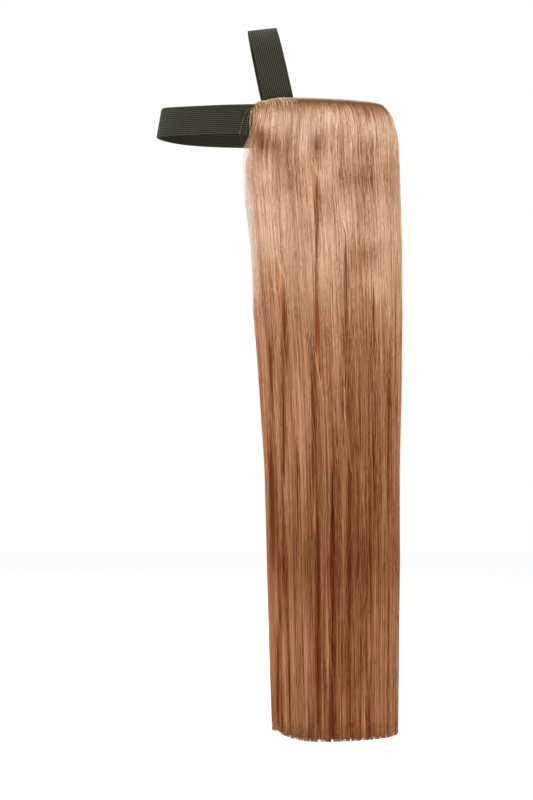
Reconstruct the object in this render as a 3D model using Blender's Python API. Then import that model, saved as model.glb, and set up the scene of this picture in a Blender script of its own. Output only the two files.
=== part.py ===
"""Halo hair extension: an elastic headband and crown strap that carry a curtain of straight hair.

Metres, +Z up. The wearer faces -Y and their left side is +X. The origin is the middle of the
crown strap's underside, where it rests on top of the head. Angles round the head are counted
from the back (+Y), positive towards the wearer's left.
"""

import math
from collections import namedtuple

import bmesh
import bpy
from mathutils import Vector

# Ribbed elastic, the same for the headband and the crown strap
ELASTIC_WIDTH = 0.024
ELASTIC_THICKNESS = 0.0015

# Gap kept between pieces that are sewn together
SEWN_GAP = 0.0003

# Oval that the headband goes round, and where it sits below and behind the crown
HEAD_WIDTH = 0.151
HEAD_LENGTH = 0.1865
BAND_DROP = 0.0917
BAND_SETBACK = 0.0055
FOREHEAD_LEAN = 0.0042
FOREHEAD_RISE = 0.0026
BAND_STATIONS = 72

# Crown strap: its lean forwards, how much flatter it lies on top of the head, the fullness of its
# arch and the inset of its sewn ends
STRAP_LEAN = math.radians(12.3)
CROWN_EASE = math.radians(6.0)
STRAP_FULLNESS = 2.4
STRAP_END_INSET = 0.001
STRAP_ARCH_STEPS = 16
STRAP_WIDTH_STEPS = 4

# Weft track: the sewn strip that holds the hair, with a rolled hem along its top edge
WEFT_SWEEP = math.radians(98.7)
TRACK_RISE = 0.0053
TRACK_HEIGHT = 0.010
TRACK_THICKNESS = 0.0016
HEM_HEIGHT = 0.0017
HEM_ROLL = 0.0007
HEM_EDGE = 0.00025
END_DROOP = 0.004
END_ROUND = math.radians(16.0)

# Hair curtain: its length from the hem to the cut, and how full and deep it hangs
HAIR_LENGTH = 0.529
SIDE_THICKNESS = 0.008
BACK_THICKNESS = 0.012
BACK_SWELL = 0.016
SIDE_SWELL = 0.009
FRONT_DRIFT = 0.020
CORNER_LIFT = 0.008
CORNER_SWEEP = math.radians(20.0)
EDGE_TAPER = 0.45
EDGE_SWEEP = math.radians(12.0)

# Locks: how many, how unlike in width, how deep their grooves are as shares of the curtain's
# thickness, how far they wander sideways on their way down, and how their tips are trimmed
SECTION_COUNT = 12
LOCKS_PER_SECTION = 4
LOCK_STEPS = 3
LOCK_UNEVEN = 0.22
LOCK_BEAT = 2.4
LOCK_GROOVE = 0.26
INNER_GROOVE = 0.14
GROOVE_UNEVEN = 0.55
GROOVE_BEAT = 1.7
LOCK_WANDER = math.radians(0.9)
WANDER_WAVES = 7.0
TIP_ROUND = 0.0022
TIP_TRIM = 0.0018
TRIM_WAVES = 19.0

# One row for each level of the curtain, from the hem to the cut. drop is a share of the hair's
# length. back, side and front say how far its outer face stands from the weft, as shares of
# BACK_SWELL, SIDE_SWELL and FRONT_DRIFT. groove is a share of the full depth of the grooves.
Level = namedtuple("Level", "drop back side front groove")
LEVELS = (
    Level(0.000, 0.10, 0.16, 0.00, 0.0),
    Level(0.008, 0.34, 0.42, -0.03, 0.2),
    Level(0.020, 0.56, 0.62, -0.08, 0.3),
    Level(0.038, 0.69, 0.76, -0.14, 0.4),
    Level(0.062, 0.77, 0.86, -0.20, 0.5),
    Level(0.110, 0.83, 0.97, -0.24, 0.6),
    Level(0.200, 0.97, 1.00, -0.10, 0.7),
    Level(0.330, 1.02, 0.82, 0.05, 0.9),
    Level(0.450, 0.97, 0.58, 0.26, 1.0),
    Level(0.600, 0.86, 0.25, 0.52, 1.0),
    Level(0.800, 0.80, -0.10, 0.64, 1.0),
    Level(1.000, 0.74, -0.38, 0.78, 1.0),
)

# Edges sharper than this stay crisp
SHARP_ANGLE = math.radians(40.0)

# Places worked out from the sizes above, all in the frame of the headband's lower edge
TRACK_SEAT = ELASTIC_THICKNESS + SEWN_GAP
HAIR_SEAT = TRACK_SEAT + TRACK_THICKNESS + SEWN_GAP
WEFT_TOP = ELASTIC_WIDTH + TRACK_RISE
HAIR_TOP = WEFT_TOP - HEM_HEIGHT - SEWN_GAP
HAIR_CUT = WEFT_TOP - HAIR_LENGTH
BAND_PASSED = 2 * WEFT_TOP
LOCK_COUNT = SECTION_COUNT * LOCKS_PER_SECTION
LOCK_SWEEP = 2 * WEFT_SWEEP / LOCK_COUNT


def clear_scene():
    for item in list(bpy.data.objects):
        bpy.data.objects.remove(item)


def make_material(name, colour, roughness):
    material = bpy.data.materials.new(name)
    material.use_nodes = True
    shader = material.node_tree.nodes["Principled BSDF"]
    shader.inputs["Base Color"].default_value = (*colour, 1.0)
    shader.inputs["Roughness"].default_value = roughness
    shader.inputs["Metallic"].default_value = 0.0
    return material


def eased(value):
    """0 below 0, 1 above 1, and a smooth rise between."""
    value = min(1.0, max(0.0, value))
    return value * value * (3.0 - 2.0 * value)


def oval(angle, half_width, half_length, centre=0.0):
    """A point of an oval in plan, with the angle counted from the back."""
    return Vector((half_width * math.sin(angle), centre + half_length * math.cos(angle), 0.0))


def outward(angle, half_width, half_length):
    """The oval's outward direction in plan at that angle."""
    return Vector((half_length * math.sin(angle), half_width * math.cos(angle), 0.0)).normalized()


def round_head(angle, offset):
    """A point that lies the offset outside the oval of the head opening."""
    size = (HEAD_WIDTH / 2, HEAD_LENGTH / 2)
    return oval(angle, *size) + outward(angle, *size) * offset


def at_height(point, height):
    return Vector((point.x, point.y, height))


def loft(name, sections, material, closed=False):
    """Joins sections into one closed body. Each is (outer points, inner points) of equal number."""
    mesh = bmesh.new()
    loops = [[mesh.verts.new(p) for p in (*outer, *reversed(inner))] for outer, inner in sections]
    following = loops[1:] + loops[:1] if closed else loops[1:]
    for this, after in zip(loops, following):
        for i, corner in enumerate(this):
            j = (i + 1) % len(this)
            mesh.faces.new((corner, this[j], after[j], after[i]))
    for end in () if closed else (loops[0], loops[-1]):
        for i in range(len(end) // 2 - 1):
            mesh.faces.new((end[i], end[i + 1], end[-2 - i], end[-1 - i]))
    bmesh.ops.recalc_face_normals(mesh, faces=mesh.faces)
    data = bpy.data.meshes.new(name)
    mesh.to_mesh(data)
    mesh.free()
    data.shade_smooth()
    data.set_sharp_from_angle(angle=SHARP_ANGLE)
    data.materials.append(material)
    piece = bpy.data.objects.new(name, data)
    bpy.context.scene.collection.objects.link(piece)
    return piece


def head_band(material):
    """The elastic loop, which leans back and rises a little over the forehead."""

    def edge(angle, offset, share):
        forehead = max(0.0, -math.cos(angle))
        point = round_head(angle, offset)
        point.y += FOREHEAD_LEAN * forehead ** 2 * share
        return at_height(point, ELASTIC_WIDTH * share + FOREHEAD_RISE * forehead ** 6)

    sections = []
    for station in range(BAND_STATIONS):
        angle = 2 * math.pi * station / BAND_STATIONS
        outer = [edge(angle, ELASTIC_THICKNESS, share) for share in (0.0, 1.0)]
        inner = [edge(angle, 0.0, share) for share in (0.0, 1.0)]
        sections.append((outer, inner))
    return loft("head_band", sections, material, closed=True)


def strap_profile():
    """(across, up, direction outwards) of the strap's underside, from one end to the other."""
    foot = HEAD_WIDTH / 2 - SEWN_GAP - ELASTIC_THICKNESS
    end = (-BAND_DROP + STRAP_END_INSET) / math.cos(STRAP_LEAN)
    spring = (-BAND_DROP + ELASTIC_WIDTH) / math.cos(STRAP_LEAN)
    power = 2.0 / STRAP_FULLNESS
    half = [(foot, end), (foot, (end + spring) / 2)]
    for step in range(STRAP_ARCH_STEPS + 1):
        turn = math.pi / 2 * step / STRAP_ARCH_STEPS
        half.append((foot * math.cos(turn) ** power, spring - spring * math.sin(turn) ** power))
    half[-1] = (0.0, 0.0)
    line = half + [(-across, up) for across, up in reversed(half[:-1])]
    stations = []
    for i, (across, up) in enumerate(line):
        before = Vector(line[max(0, i - 1)])
        after = Vector(line[min(len(line) - 1, i + 1)])
        along = (after - before).normalized()
        stations.append((across, up, Vector((along.y, -along.x))))
    return stations


def crown_strap(material):
    """The elastic arch over the crown, bent with the head's oval. Its ends are sewn inside the band."""

    def bent(across, width, up, ease):
        depth = width * math.cos(ease)
        height = up - width * math.sin(ease)
        behind = depth * math.cos(STRAP_LEAN) - height * math.sin(STRAP_LEAN) - BAND_SETBACK
        narrowing = math.sqrt(1.0 - (2 * behind / HEAD_LENGTH) ** 2)
        return Vector((across * narrowing, depth, height))

    widths = [ELASTIC_WIDTH * (step / STRAP_WIDTH_STEPS - 0.5) for step in range(STRAP_WIDTH_STEPS + 1)]
    sections = []
    for across, up, away in strap_profile():
        ease = CROWN_EASE * away.y ** 2
        outer_across = across + away.x * ELASTIC_THICKNESS
        outer_up = up + away.y * ELASTIC_THICKNESS
        outer = [bent(outer_across, width, outer_up, ease) for width in widths]
        inner = [bent(across, width, up, ease) for width in widths]
        sections.append((outer, inner))
    return loft("crown_strap", sections, material)


def end_droop(angle):
    """How far the weft's rounded front ends fall below its top edge."""
    return END_DROOP * eased((abs(angle) - WEFT_SWEEP + END_ROUND) / END_ROUND)


def weft_track(material):
    """The strip sewn to the headband's outer face, rising above its top edge to a rolled hem."""
    hem_foot = TRACK_HEIGHT - HEM_HEIGHT
    profile = ((0.0, 0.0), (hem_foot, 0.0), (hem_foot + HEM_HEIGHT / 2, HEM_ROLL), (TRACK_HEIGHT, HEM_EDGE))
    stations = round(BAND_STATIONS * WEFT_SWEEP / math.pi)
    sections = []
    for station in range(stations + 1):
        angle = WEFT_SWEEP * (2.0 * station / stations - 1.0)
        base = WEFT_TOP - TRACK_HEIGHT - end_droop(angle)
        outer = []
        inner = []
        for height, roll in profile:
            outside = round_head(angle, TRACK_SEAT + TRACK_THICKNESS + roll)
            outer.append(at_height(outside, base + height))
            inner.append(at_height(round_head(angle, TRACK_SEAT), base + height))
        sections.append((outer, inner))
    return loft("weft_track", sections, material)


def lock_edge(number):
    """The angle of the groove with that number, counted from the middle of the back."""
    shift = LOCK_UNEVEN * math.sin(LOCK_BEAT * number) if number % LOCKS_PER_SECTION else 0.0
    return LOCK_SWEEP * (number + shift)


def groove_depth(number):
    """How deep the groove with that number is, as a share of the deepest."""
    return 1.0 - GROOVE_UNEVEN * math.sin(GROOVE_BEAT * number) ** 2


def wandered(angle, drop):
    """The angle after the locks have wandered sideways on their way down."""
    free = 1.0 - (angle / WEFT_SWEEP) ** 2
    turn = math.sin(WANDER_WAVES * angle) * math.cos(2 * math.pi * drop)
    return angle + LOCK_WANDER * free * drop * turn


def cut_height(angle, relief):
    """Where a column of hair is cut: the front corners and the grooves end higher."""
    corner = eased((abs(angle) - WEFT_SWEEP + CORNER_SWEEP) / CORNER_SWEEP)
    uneven = 0.5 + 0.5 * math.sin(TRIM_WAVES * abs(angle))
    return HAIR_CUT + CORNER_LIFT * corner + TIP_ROUND * relief + TIP_TRIM * uneven


def curtain_faces(level, angle):
    """The curtain's outer and inner point in plan, smooth, before its locks are grooved."""
    fullness = eased(math.cos(angle))
    side = SIDE_SWELL * level.side
    outer = HAIR_SEAT + side + (BACK_SWELL * level.back - side) * fullness
    inner = outer - SIDE_THICKNESS - (BACK_THICKNESS - SIDE_THICKNESS) * fullness
    if level.drop * HAIR_LENGTH < BAND_PASSED:
        inner = max(inner, HAIR_SEAT)
    edge = EDGE_TAPER * eased((abs(angle) - WEFT_SWEEP + EDGE_SWEEP) / EDGE_SWEEP)
    outer += (inner - outer) * edge
    forwards = (1.0 - math.cos(angle)) / (1.0 - math.cos(WEFT_SWEEP))
    drift = Vector((0.0, FRONT_DRIFT * level.front * forwards, 0.0))
    return round_head(angle, outer) + drift, round_head(angle, inner) + drift


def section_columns(index):
    """(angle, relief) of each column of a section: relief is 1 in the deepest groove, 0 on a crest."""
    first = index * LOCKS_PER_SECTION - LOCK_COUNT // 2
    columns = []
    for lock in range(first, first + LOCKS_PER_SECTION):
        start = lock_edge(lock)
        width = lock_edge(lock + 1) - start
        columns.append((start, groove_depth(lock)))
        for step in range(1, LOCK_STEPS):
            share = step / LOCK_STEPS
            columns.append((start + width * share, (2.0 * share - 1.0) ** 2))
    columns.append((lock_edge(first + LOCKS_PER_SECTION), groove_depth(first + LOCKS_PER_SECTION)))
    gap = SEWN_GAP / HEAD_WIDTH
    columns[0] = (columns[0][0] + gap, columns[0][1])
    columns[-1] = (columns[-1][0] - gap, columns[-1][1])
    return columns


def hair_section(index, material):
    """One section of the curtain, a group of locks from the weft down to the cut."""
    sections = []
    for level in LEVELS:
        outer = []
        inner = []
        for angle, relief in section_columns(index):
            top = HAIR_TOP - end_droop(angle)
            height = top + (cut_height(angle, relief) - top) * level.drop
            outside, inside = curtain_faces(level, wandered(angle, level.drop))
            grooved = outside.lerp(inside, LOCK_GROOVE * level.groove * relief)
            hollowed = inside.lerp(outside, INNER_GROOVE * level.groove * relief)
            outer.append(at_height(grooved, height))
            inner.append(at_height(hollowed, height))
        sections.append((outer, inner))
    return loft(f"hair_section_{index + 1:02d}", sections, material)


def main():
    clear_scene()
    band_elastic = make_material("band_elastic", (0.047, 0.048, 0.031), 0.85)
    strap_elastic = make_material("strap_elastic", (0.047, 0.048, 0.031), 0.85)
    track_thread = make_material("track_thread", (0.42, 0.27, 0.15), 0.7)
    hair = make_material("hair", (0.38, 0.17, 0.08), 0.45)

    holder = bpy.data.objects.new("halo_extension", None)
    bpy.context.scene.collection.objects.link(holder)
    strap = crown_strap(strap_elastic)
    strap.rotation_euler.x = STRAP_LEAN
    strap.parent = holder
    pieces = [head_band(band_elastic), weft_track(track_thread)]
    pieces += [hair_section(index, hair) for index in range(SECTION_COUNT)]
    for piece in pieces:
        piece.location = (0.0, BAND_SETBACK, -BAND_DROP)
        piece.parent = holder


main()
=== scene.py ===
"""Looks of a halo hair extension: ribbed elastic, a sewn weft track and a curtain of straight hair.

Metres, +Z up. The wearer faces -Y and their left is +X. Every piece takes its place from the
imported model. A place on the curtain of hair is given as (share, drop): share runs round it from
the front edge on the wearer's right, 0, over the middle of the back, 0.5, to the front edge on
their left, 1, and drop runs down it from the weft, 0, to the cut, 1.
"""

from __future__ import annotations

import logging
import math
from dataclasses import dataclass, field
from enum import Enum

import bpy
import numpy as np
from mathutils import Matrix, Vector
from mathutils.bvhtree import BVHTree

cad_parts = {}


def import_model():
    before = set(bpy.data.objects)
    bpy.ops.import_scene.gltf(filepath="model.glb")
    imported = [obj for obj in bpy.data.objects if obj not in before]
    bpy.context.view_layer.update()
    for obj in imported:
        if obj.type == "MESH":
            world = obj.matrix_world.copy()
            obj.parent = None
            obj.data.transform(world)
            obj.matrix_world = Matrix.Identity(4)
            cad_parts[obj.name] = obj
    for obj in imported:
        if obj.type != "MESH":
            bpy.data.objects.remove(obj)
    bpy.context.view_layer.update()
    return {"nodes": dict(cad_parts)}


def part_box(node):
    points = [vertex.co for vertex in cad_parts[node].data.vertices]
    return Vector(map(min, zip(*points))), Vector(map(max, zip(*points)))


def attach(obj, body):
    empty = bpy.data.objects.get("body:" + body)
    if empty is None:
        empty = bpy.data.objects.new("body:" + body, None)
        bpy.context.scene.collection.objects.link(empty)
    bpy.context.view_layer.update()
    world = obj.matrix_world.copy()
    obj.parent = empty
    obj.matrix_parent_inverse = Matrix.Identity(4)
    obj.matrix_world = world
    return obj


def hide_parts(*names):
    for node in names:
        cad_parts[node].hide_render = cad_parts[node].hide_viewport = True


LOG = logging.getLogger("halo")
MM = 0.001
BODY = "root"
SEED = 20
BAKE_MAP = "OFBake"
STRIP_MAP = "strip_map"
MAP_WIDTH = 0.006
MAP_MARGIN = 0.02


class Slot(Enum):
    """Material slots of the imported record."""

    BAND = "band_elastic"
    STRAP = "strap_elastic"
    TRACK = "track_thread"
    HAIR = "hair"


class Side(Enum):
    """The wearer's two sides, each with its sign along X."""

    LEFT = 1.0
    RIGHT = -1.0


class Face(Enum):
    """The two faces of the curtain that loose strands lie on."""

    OUTER = 0.0
    INNER = 1.0


def deselect_all() -> None:
    """Leaves nothing selected and no object in edit mode."""
    if bpy.context.object and bpy.context.object.mode != "OBJECT":
        bpy.ops.object.mode_set(mode="OBJECT")
    bpy.ops.object.select_all(action="DESELECT")


def pick(piece: bpy.types.Object) -> bpy.types.Object:
    """Makes the piece the only selected and the active object."""
    deselect_all()
    piece.select_set(True)
    bpy.context.view_layer.objects.active = piece
    return piece


def finish_modifier(piece: bpy.types.Object, kind: str, **settings: object) -> None:
    """Adds one modifier with the settings given, and applies it.

    Args:
        piece: the object that takes it.
        kind: Blender's type name of the modifier.
        settings: values of the modifier's own properties.
    """
    pick(piece)
    modifier = piece.modifiers.new(kind.title(), kind)
    for key, value in settings.items():
        setattr(modifier, key, value)
    bpy.ops.object.modifier_apply(modifier=modifier.name)


def places(mesh: bpy.types.Mesh) -> np.ndarray:
    """The mesh's vertices as an array of n rows."""
    found = np.empty(len(mesh.vertices) * 3)
    mesh.vertices.foreach_get("co", found)
    return found.reshape(-1, 3)


def set_places(mesh: bpy.types.Mesh, points: np.ndarray) -> None:
    """Moves the mesh's vertices to the points."""
    mesh.vertices.foreach_set("co", np.ascontiguousarray(points, dtype=np.float64).ravel())
    mesh.update()


def merged_copy(node: str, name: str) -> bpy.types.Object:
    """A copy of a CAD node whose loose triangles are merged into one surface.

    Args:
        node: the CAD node's name.
        name: the copy's name.

    Returns:
        The copy, which has its own mesh and rides on nothing yet.
    """
    source = bpy.data.objects[node] if node in bpy.data.objects else None
    source = FRAME_NODES.get(node, source)
    copy = source.copy()
    copy.data = source.data.copy()
    for key in list(copy.keys()):
        del copy[key]
    copy.name = name
    copy.data.name = name
    copy.parent = None
    copy.matrix_world = source.matrix_world.copy()
    copy.hide_render = False
    bpy.context.scene.collection.objects.link(copy)
    pick(copy)
    bpy.ops.object.mode_set(mode="EDIT")
    bpy.ops.mesh.select_all(action="SELECT")
    bpy.ops.mesh.remove_doubles(threshold=0.01 * MM)
    bpy.ops.object.mode_set(mode="OBJECT")
    return copy


def node_points(node: str) -> np.ndarray:
    """The corners of a CAD node, each once."""
    copy = merged_copy(node, "survey_copy")
    points = places(copy.data)
    bpy.data.objects.remove(copy)
    return points


def head_centre() -> np.ndarray:
    """The middle of the headband's oval."""
    low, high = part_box("head_band")
    return (np.array(low) + np.array(high)) / 2


def grouped(points: np.ndarray, angles: np.ndarray, size: int) -> np.ndarray:
    """Sorts points by angle and cuts them into stations of equal size.

    Args:
        points: n rows of places.
        angles: one angle for each point.
        size: how many points make a station.

    Returns:
        An array of stations, each with its points.
    """
    return points[np.argsort(angles)].reshape(-1, size, 3)


def smooth_line(knots: np.ndarray, count: int, closed: bool) -> np.ndarray:
    """A Catmull-Rom line through the knots.

    Args:
        knots: rows of places, or of several places side by side.
        count: how many points the line gets.
        closed: whether the line returns to its first knot.

    Returns:
        The points, evenly spread over the knots.
    """
    total = len(knots)
    steps = np.arange(count) * (total / count) if closed else np.linspace(0, total - 1, count)
    base = np.floor(steps).astype(int)
    if not closed:
        base = np.minimum(base, total - 2)
    part = (steps - base).reshape(-1, *([1] * (knots.ndim - 1)))
    wrap = (lambda i: i % total) if closed else (lambda i: np.clip(i, 0, total - 1))
    a, b, c, d = (knots[wrap(base + k)] for k in (-1, 0, 1, 2))
    bend = 2 * a - 5 * b + 4 * c - d + part * (3 * (b - c) + d - a)
    return b + 0.5 * part * (c - a + part * bend)


def unit(vectors: np.ndarray) -> np.ndarray:
    """The vectors at length one."""
    return vectors / np.maximum(np.linalg.norm(vectors, axis=-1, keepdims=True), 1e-12)


def eased(values: np.ndarray) -> np.ndarray:
    """0 below 0, 1 above 1, and a smooth rise between."""
    held = np.clip(values, 0.0, 1.0)
    return held * held * (3.0 - 2.0 * held)


def between(values: np.ndarray, start: float, stop: float) -> np.ndarray:
    """How far values have come from start to stop, eased."""
    return eased((values - start) / (stop - start))


def folded_grid(
    name: str, surface: np.ndarray, closed: bool, marks: dict[str, np.ndarray] | None = None
) -> bpy.types.Object:
    """Models a tube from a grid that is wrapped onto stations of a cross-section.

    Args:
        name: the piece's name.
        surface: stations by points round the cross-section, by 3.
        closed: whether the last station joins the first, as on a ring.
        marks: values to store on the vertices, each stations by points round.

    Returns:
        The closed, smooth piece. Its strip map runs along (u) and round (v), in metres.
    """
    wrapped = wrap_ends(surface, closed)
    along, around = wrapped.shape[0], wrapped.shape[1]
    deselect_all()
    bpy.ops.mesh.primitive_grid_add(x_subdivisions=along - 1, y_subdivisions=around - 1, size=1.0)
    piece = bpy.context.object
    piece.name = name
    piece.data.name = name
    flat = places(piece.data)
    column = np.rint((flat[:, 0] + 0.5) * (along - 1)).astype(int)
    row = np.rint((flat[:, 1] + 0.5) * (around - 1)).astype(int)
    set_places(piece.data, wrapped[column, row])
    for key, values in (marks or {}).items():
        layer = piece.data.attributes.new(key, "FLOAT", "POINT")
        layer.data.foreach_set("value", wrap_ends(values, closed)[column, row].astype(np.float32))
    length = np.linalg.norm(np.diff(wrapped[:, 0], axis=0), axis=1).sum()
    girth = np.linalg.norm(np.diff(wrapped[along // 2], axis=0), axis=1).sum()
    strip_map = piece.data.uv_layers.active
    strip_map.name = STRIP_MAP
    uv = np.empty(len(strip_map.data) * 2)
    strip_map.data.foreach_get("uv", uv)
    strip_map.data.foreach_set("uv", (uv.reshape(-1, 2) * (length, girth)).ravel())
    bpy.ops.object.mode_set(mode="EDIT")
    bpy.ops.mesh.select_all(action="SELECT")
    bpy.ops.mesh.remove_doubles(threshold=0.005 * MM)
    if not closed:
        bpy.ops.mesh.select_all(action="DESELECT")
        bpy.ops.mesh.select_mode(type="EDGE")
        bpy.ops.mesh.select_non_manifold()
        bpy.ops.mesh.fill_holes(sides=0)
    bpy.ops.mesh.select_all(action="SELECT")
    bpy.ops.mesh.normals_make_consistent(inside=False)
    bpy.ops.object.mode_set(mode="OBJECT")
    bpy.ops.object.shade_smooth_by_angle(angle=math.radians(50.0))
    return piece


def wrap_ends(grid: np.ndarray, closed: bool) -> np.ndarray:
    """The grid with its first column, and on a ring its first row too, repeated at the end."""
    loop = np.concatenate([grid, grid[:1]]) if closed else grid
    return np.concatenate([loop, loop[:, :1]], axis=1)


def tube_mesh(
    name: str,
    paths: np.ndarray,
    facing: np.ndarray,
    radii: np.ndarray,
    sides: int,
    marks: tuple[np.ndarray, np.ndarray] | None = None,
) -> bpy.types.Object:
    """Joins many thin closed tubes into one piece, from arrays.

    Args:
        name: the piece's name.
        paths: tubes by stations by 3.
        facing: a direction across each station, the same shape as paths.
        radii: tubes by stations.
        sides: how many sides each tube has.
        marks: two arrays of tubes by stations, from 0 to 1, for the bake map, or None.

    Returns:
        The piece. Its bake map holds the first marks across (u) and the second ones down (v).
    """
    tubes, rings, _ = paths.shape
    ahead = unit(np.gradient(paths, axis=1))
    across = unit(np.cross(ahead, facing))
    upward = np.cross(across, ahead)
    turns = 2 * np.pi * np.arange(sides) / sides
    spread = upward[:, :, None] * np.cos(turns)[:, None] + across[:, :, None] * np.sin(turns)[:, None]
    points = (paths[:, :, None] + spread * radii[:, :, None, None]).reshape(-1, 3)
    ring = np.arange(tubes)[:, None, None] * rings * sides + np.arange(rings - 1)[:, None] * sides
    here = ring + np.arange(sides)
    there = ring + (np.arange(sides) + 1) % sides
    walls = np.stack([here, there, there + sides, here + sides], axis=-1).reshape(-1, 4)
    starts = np.arange(tubes)[:, None] * rings * sides + np.arange(sides)
    caps = np.concatenate([starts[:, ::-1], starts + (rings - 1) * sides])
    mesh = bpy.data.meshes.new(name)
    mesh.vertices.add(len(points))
    mesh.vertices.foreach_set("co", points.ravel())
    mesh.loops.add(walls.size + caps.size)
    mesh.loops.foreach_set("vertex_index", np.concatenate([walls.ravel(), caps.ravel()]).astype(np.int32))
    mesh.polygons.add(len(walls) + len(caps))
    firsts = np.arange(len(walls)) * 4
    ends = walls.size + np.arange(len(caps)) * sides
    mesh.polygons.foreach_set("loop_start", np.concatenate([firsts, ends]).astype(np.int32))
    mesh.update(calc_edges=True)
    mesh.validate()
    if marks is not None:
        layer = mesh.uv_layers.new(name=BAKE_MAP)
        layer.data.foreach_set("uv", tube_map(*marks, sides).astype(np.float32).ravel())
    mesh.shade_smooth()
    piece = bpy.data.objects.new(name, mesh)
    bpy.context.scene.collection.objects.link(piece)
    return piece


def tube_map(first: np.ndarray, second: np.ndarray, sides: int) -> np.ndarray:
    """The bake map of joined tubes, in tube_mesh's order of corners.

    Args:
        first: tubes by stations, read across the map.
        second: tubes by stations, read down the map.
        sides: how many sides each tube has.

    Returns:
        Two values for each corner. Each side is given a little width.
    """
    offset = (np.arange(sides + 1) / sides * 2 - 1) * MAP_WIDTH
    low, high = offset[:-1], offset[1:]
    here, there = first[:, :-1, None], first[:, 1:, None]
    u = np.stack([here + low, here + high, there + high, there + low], axis=-1)
    down = MAP_MARGIN + (1.0 - 2 * MAP_MARGIN) * second
    top = np.broadcast_to(down[:, :-1, None], u.shape[:-1])
    foot = np.broadcast_to(down[:, 1:, None], u.shape[:-1])
    walls = np.stack([u, np.stack([top, top, foot, foot], axis=-1)], axis=-1).reshape(-1, 2)
    cap_u = np.concatenate([first[:, 0], first[:, -1]])[:, None] + low
    cap_v = np.concatenate([down[:, 0], down[:, -1]])[:, None] + np.zeros(sides)
    return np.concatenate([walls, np.stack([cap_u, cap_v], axis=-1).reshape(-1, 2)])


@dataclass(frozen=True)
class Ripple:
    """A smooth, seeded unevenness over a plane, made of a few crossing waves.

    Attributes:
        seed: chooses the waves.
        width: a usual wavelength along the first coordinate.
        height: a usual wavelength along the second coordinate.
        waves: how many waves are summed.
    """

    seed: int
    width: float
    height: float
    waves: int = 7

    def at(self, first: np.ndarray, second: np.ndarray) -> np.ndarray:
        """The value there, mostly between -1 and 1."""
        draw = np.random.default_rng(self.seed)
        total = np.zeros(np.broadcast(first, second).shape)
        for _ in range(self.waves):
            across = draw.uniform(0.5, 1.5) * draw.choice([-1.0, 1.0]) / self.width
            down = draw.uniform(0.5, 1.5) / self.height
            phase = draw.uniform(0.0, 2 * np.pi)
            total = total + np.sin(2 * np.pi * (across * first + down * second) + phase)
        return total / math.sqrt(self.waves)


@dataclass
class NodeWork:
    """Lays out the nodes of one material or node group."""

    tree: bpy.types.NodeTree

    def add(self, kind: str, **settings: object) -> bpy.types.Node:
        """A new node of that kind with its properties set."""
        node = self.tree.nodes.new(kind)
        for key, value in settings.items():
            setattr(node, key, value)
        return node

    def join(self, source: bpy.types.NodeSocket, target: bpy.types.NodeSocket) -> None:
        """Links one output to one input."""
        self.tree.links.new(source, target)

    def feed(self, target: bpy.types.NodeSocket, value: object) -> None:
        """Links a socket to the target, or sets a plain value on it."""
        if isinstance(value, bpy.types.NodeSocket):
            self.join(value, target)
        else:
            target.default_value = value

    def maths(self, operation: str, first: object, second: object = 0.0) -> bpy.types.NodeSocket:
        """One Math node's result.

        Args:
            operation: Blender's name of the operation.
            first: a socket or number.
            second: a socket or number.

        Returns:
            The result's socket.
        """
        node = self.add("ShaderNodeMath", operation=operation)
        self.feed(node.inputs[0], first)
        self.feed(node.inputs[1], second)
        return node.outputs[0]

    def remap(self, value: object, low: float, high: float, new_low: float, new_high: float) -> bpy.types.NodeSocket:
        """A value carried from one range to another, held at its ends.

        Args:
            value: the socket to carry over.
            low: where the old range starts.
            high: where it ends.
            new_low: what low becomes.
            new_high: what high becomes.

        Returns:
            The result's socket.
        """
        node = self.add("ShaderNodeMapRange", clamp=True)
        self.feed(node.inputs["Value"], value)
        for key, number in (("From Min", low), ("From Max", high), ("To Min", new_low), ("To Max", new_high)):
            node.inputs[key].default_value = number
        return node.outputs["Result"]

    def mix(self, share: object, first: object, second: object, blend: str = "MIX") -> bpy.types.NodeSocket:
        """One colour mixed over another.

        Args:
            share: how much of the second colour shows.
            first: a socket or colour.
            second: a socket or colour.
            blend: Blender's name of the blend.

        Returns:
            The mixed colour's socket.
        """
        node = self.add("ShaderNodeMix", data_type="RGBA", blend_type=blend, clamp_factor=True)
        self.feed(node.inputs["Factor"], share)
        self.feed(node.inputs["A"], first)
        self.feed(node.inputs["B"], second)
        return node.outputs["Result"]

    def ramp(self, value: object, stops: list[tuple[float, tuple[float, float, float]]]) -> bpy.types.NodeSocket:
        """A colour ramp.

        Args:
            value: the socket that is looked up.
            stops: each place on the ramp with its colour.

        Returns:
            The colour's socket.
        """
        node = self.add("ShaderNodeValToRGB")
        self.join(value, node.inputs["Fac"])
        marks = node.color_ramp.elements
        while len(marks) < len(stops):
            marks.new(0.5)
        for mark, (place, colour) in zip(marks, stops):
            mark.position = place
            mark.color = (*colour, 1.0)
        return node.outputs["Color"]

    def noise(self, vector: object, scale: float, detail: float = 2.0, rough: float = 0.5) -> bpy.types.NodeSocket:
        """A noise texture's factor.

        Args:
            vector: the coordinates' socket.
            scale: how many cells fill one unit.
            detail: how many finer octaves it has.
            rough: how strong they are.

        Returns:
            The factor's socket.
        """
        node = self.add("ShaderNodeTexNoise")
        self.feed(node.inputs["Vector"], vector)
        node.inputs["Scale"].default_value = scale
        node.inputs["Detail"].default_value = detail
        node.inputs["Roughness"].default_value = rough
        return node.outputs["Fac"]

    def stretched(self, vector: object, scale: tuple[float, float, float]) -> bpy.types.NodeSocket:
        """Coordinates scaled apart by a Mapping node."""
        node = self.add("ShaderNodeMapping")
        self.feed(node.inputs["Vector"], vector)
        node.inputs["Scale"].default_value = scale
        return node.outputs["Vector"]


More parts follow.
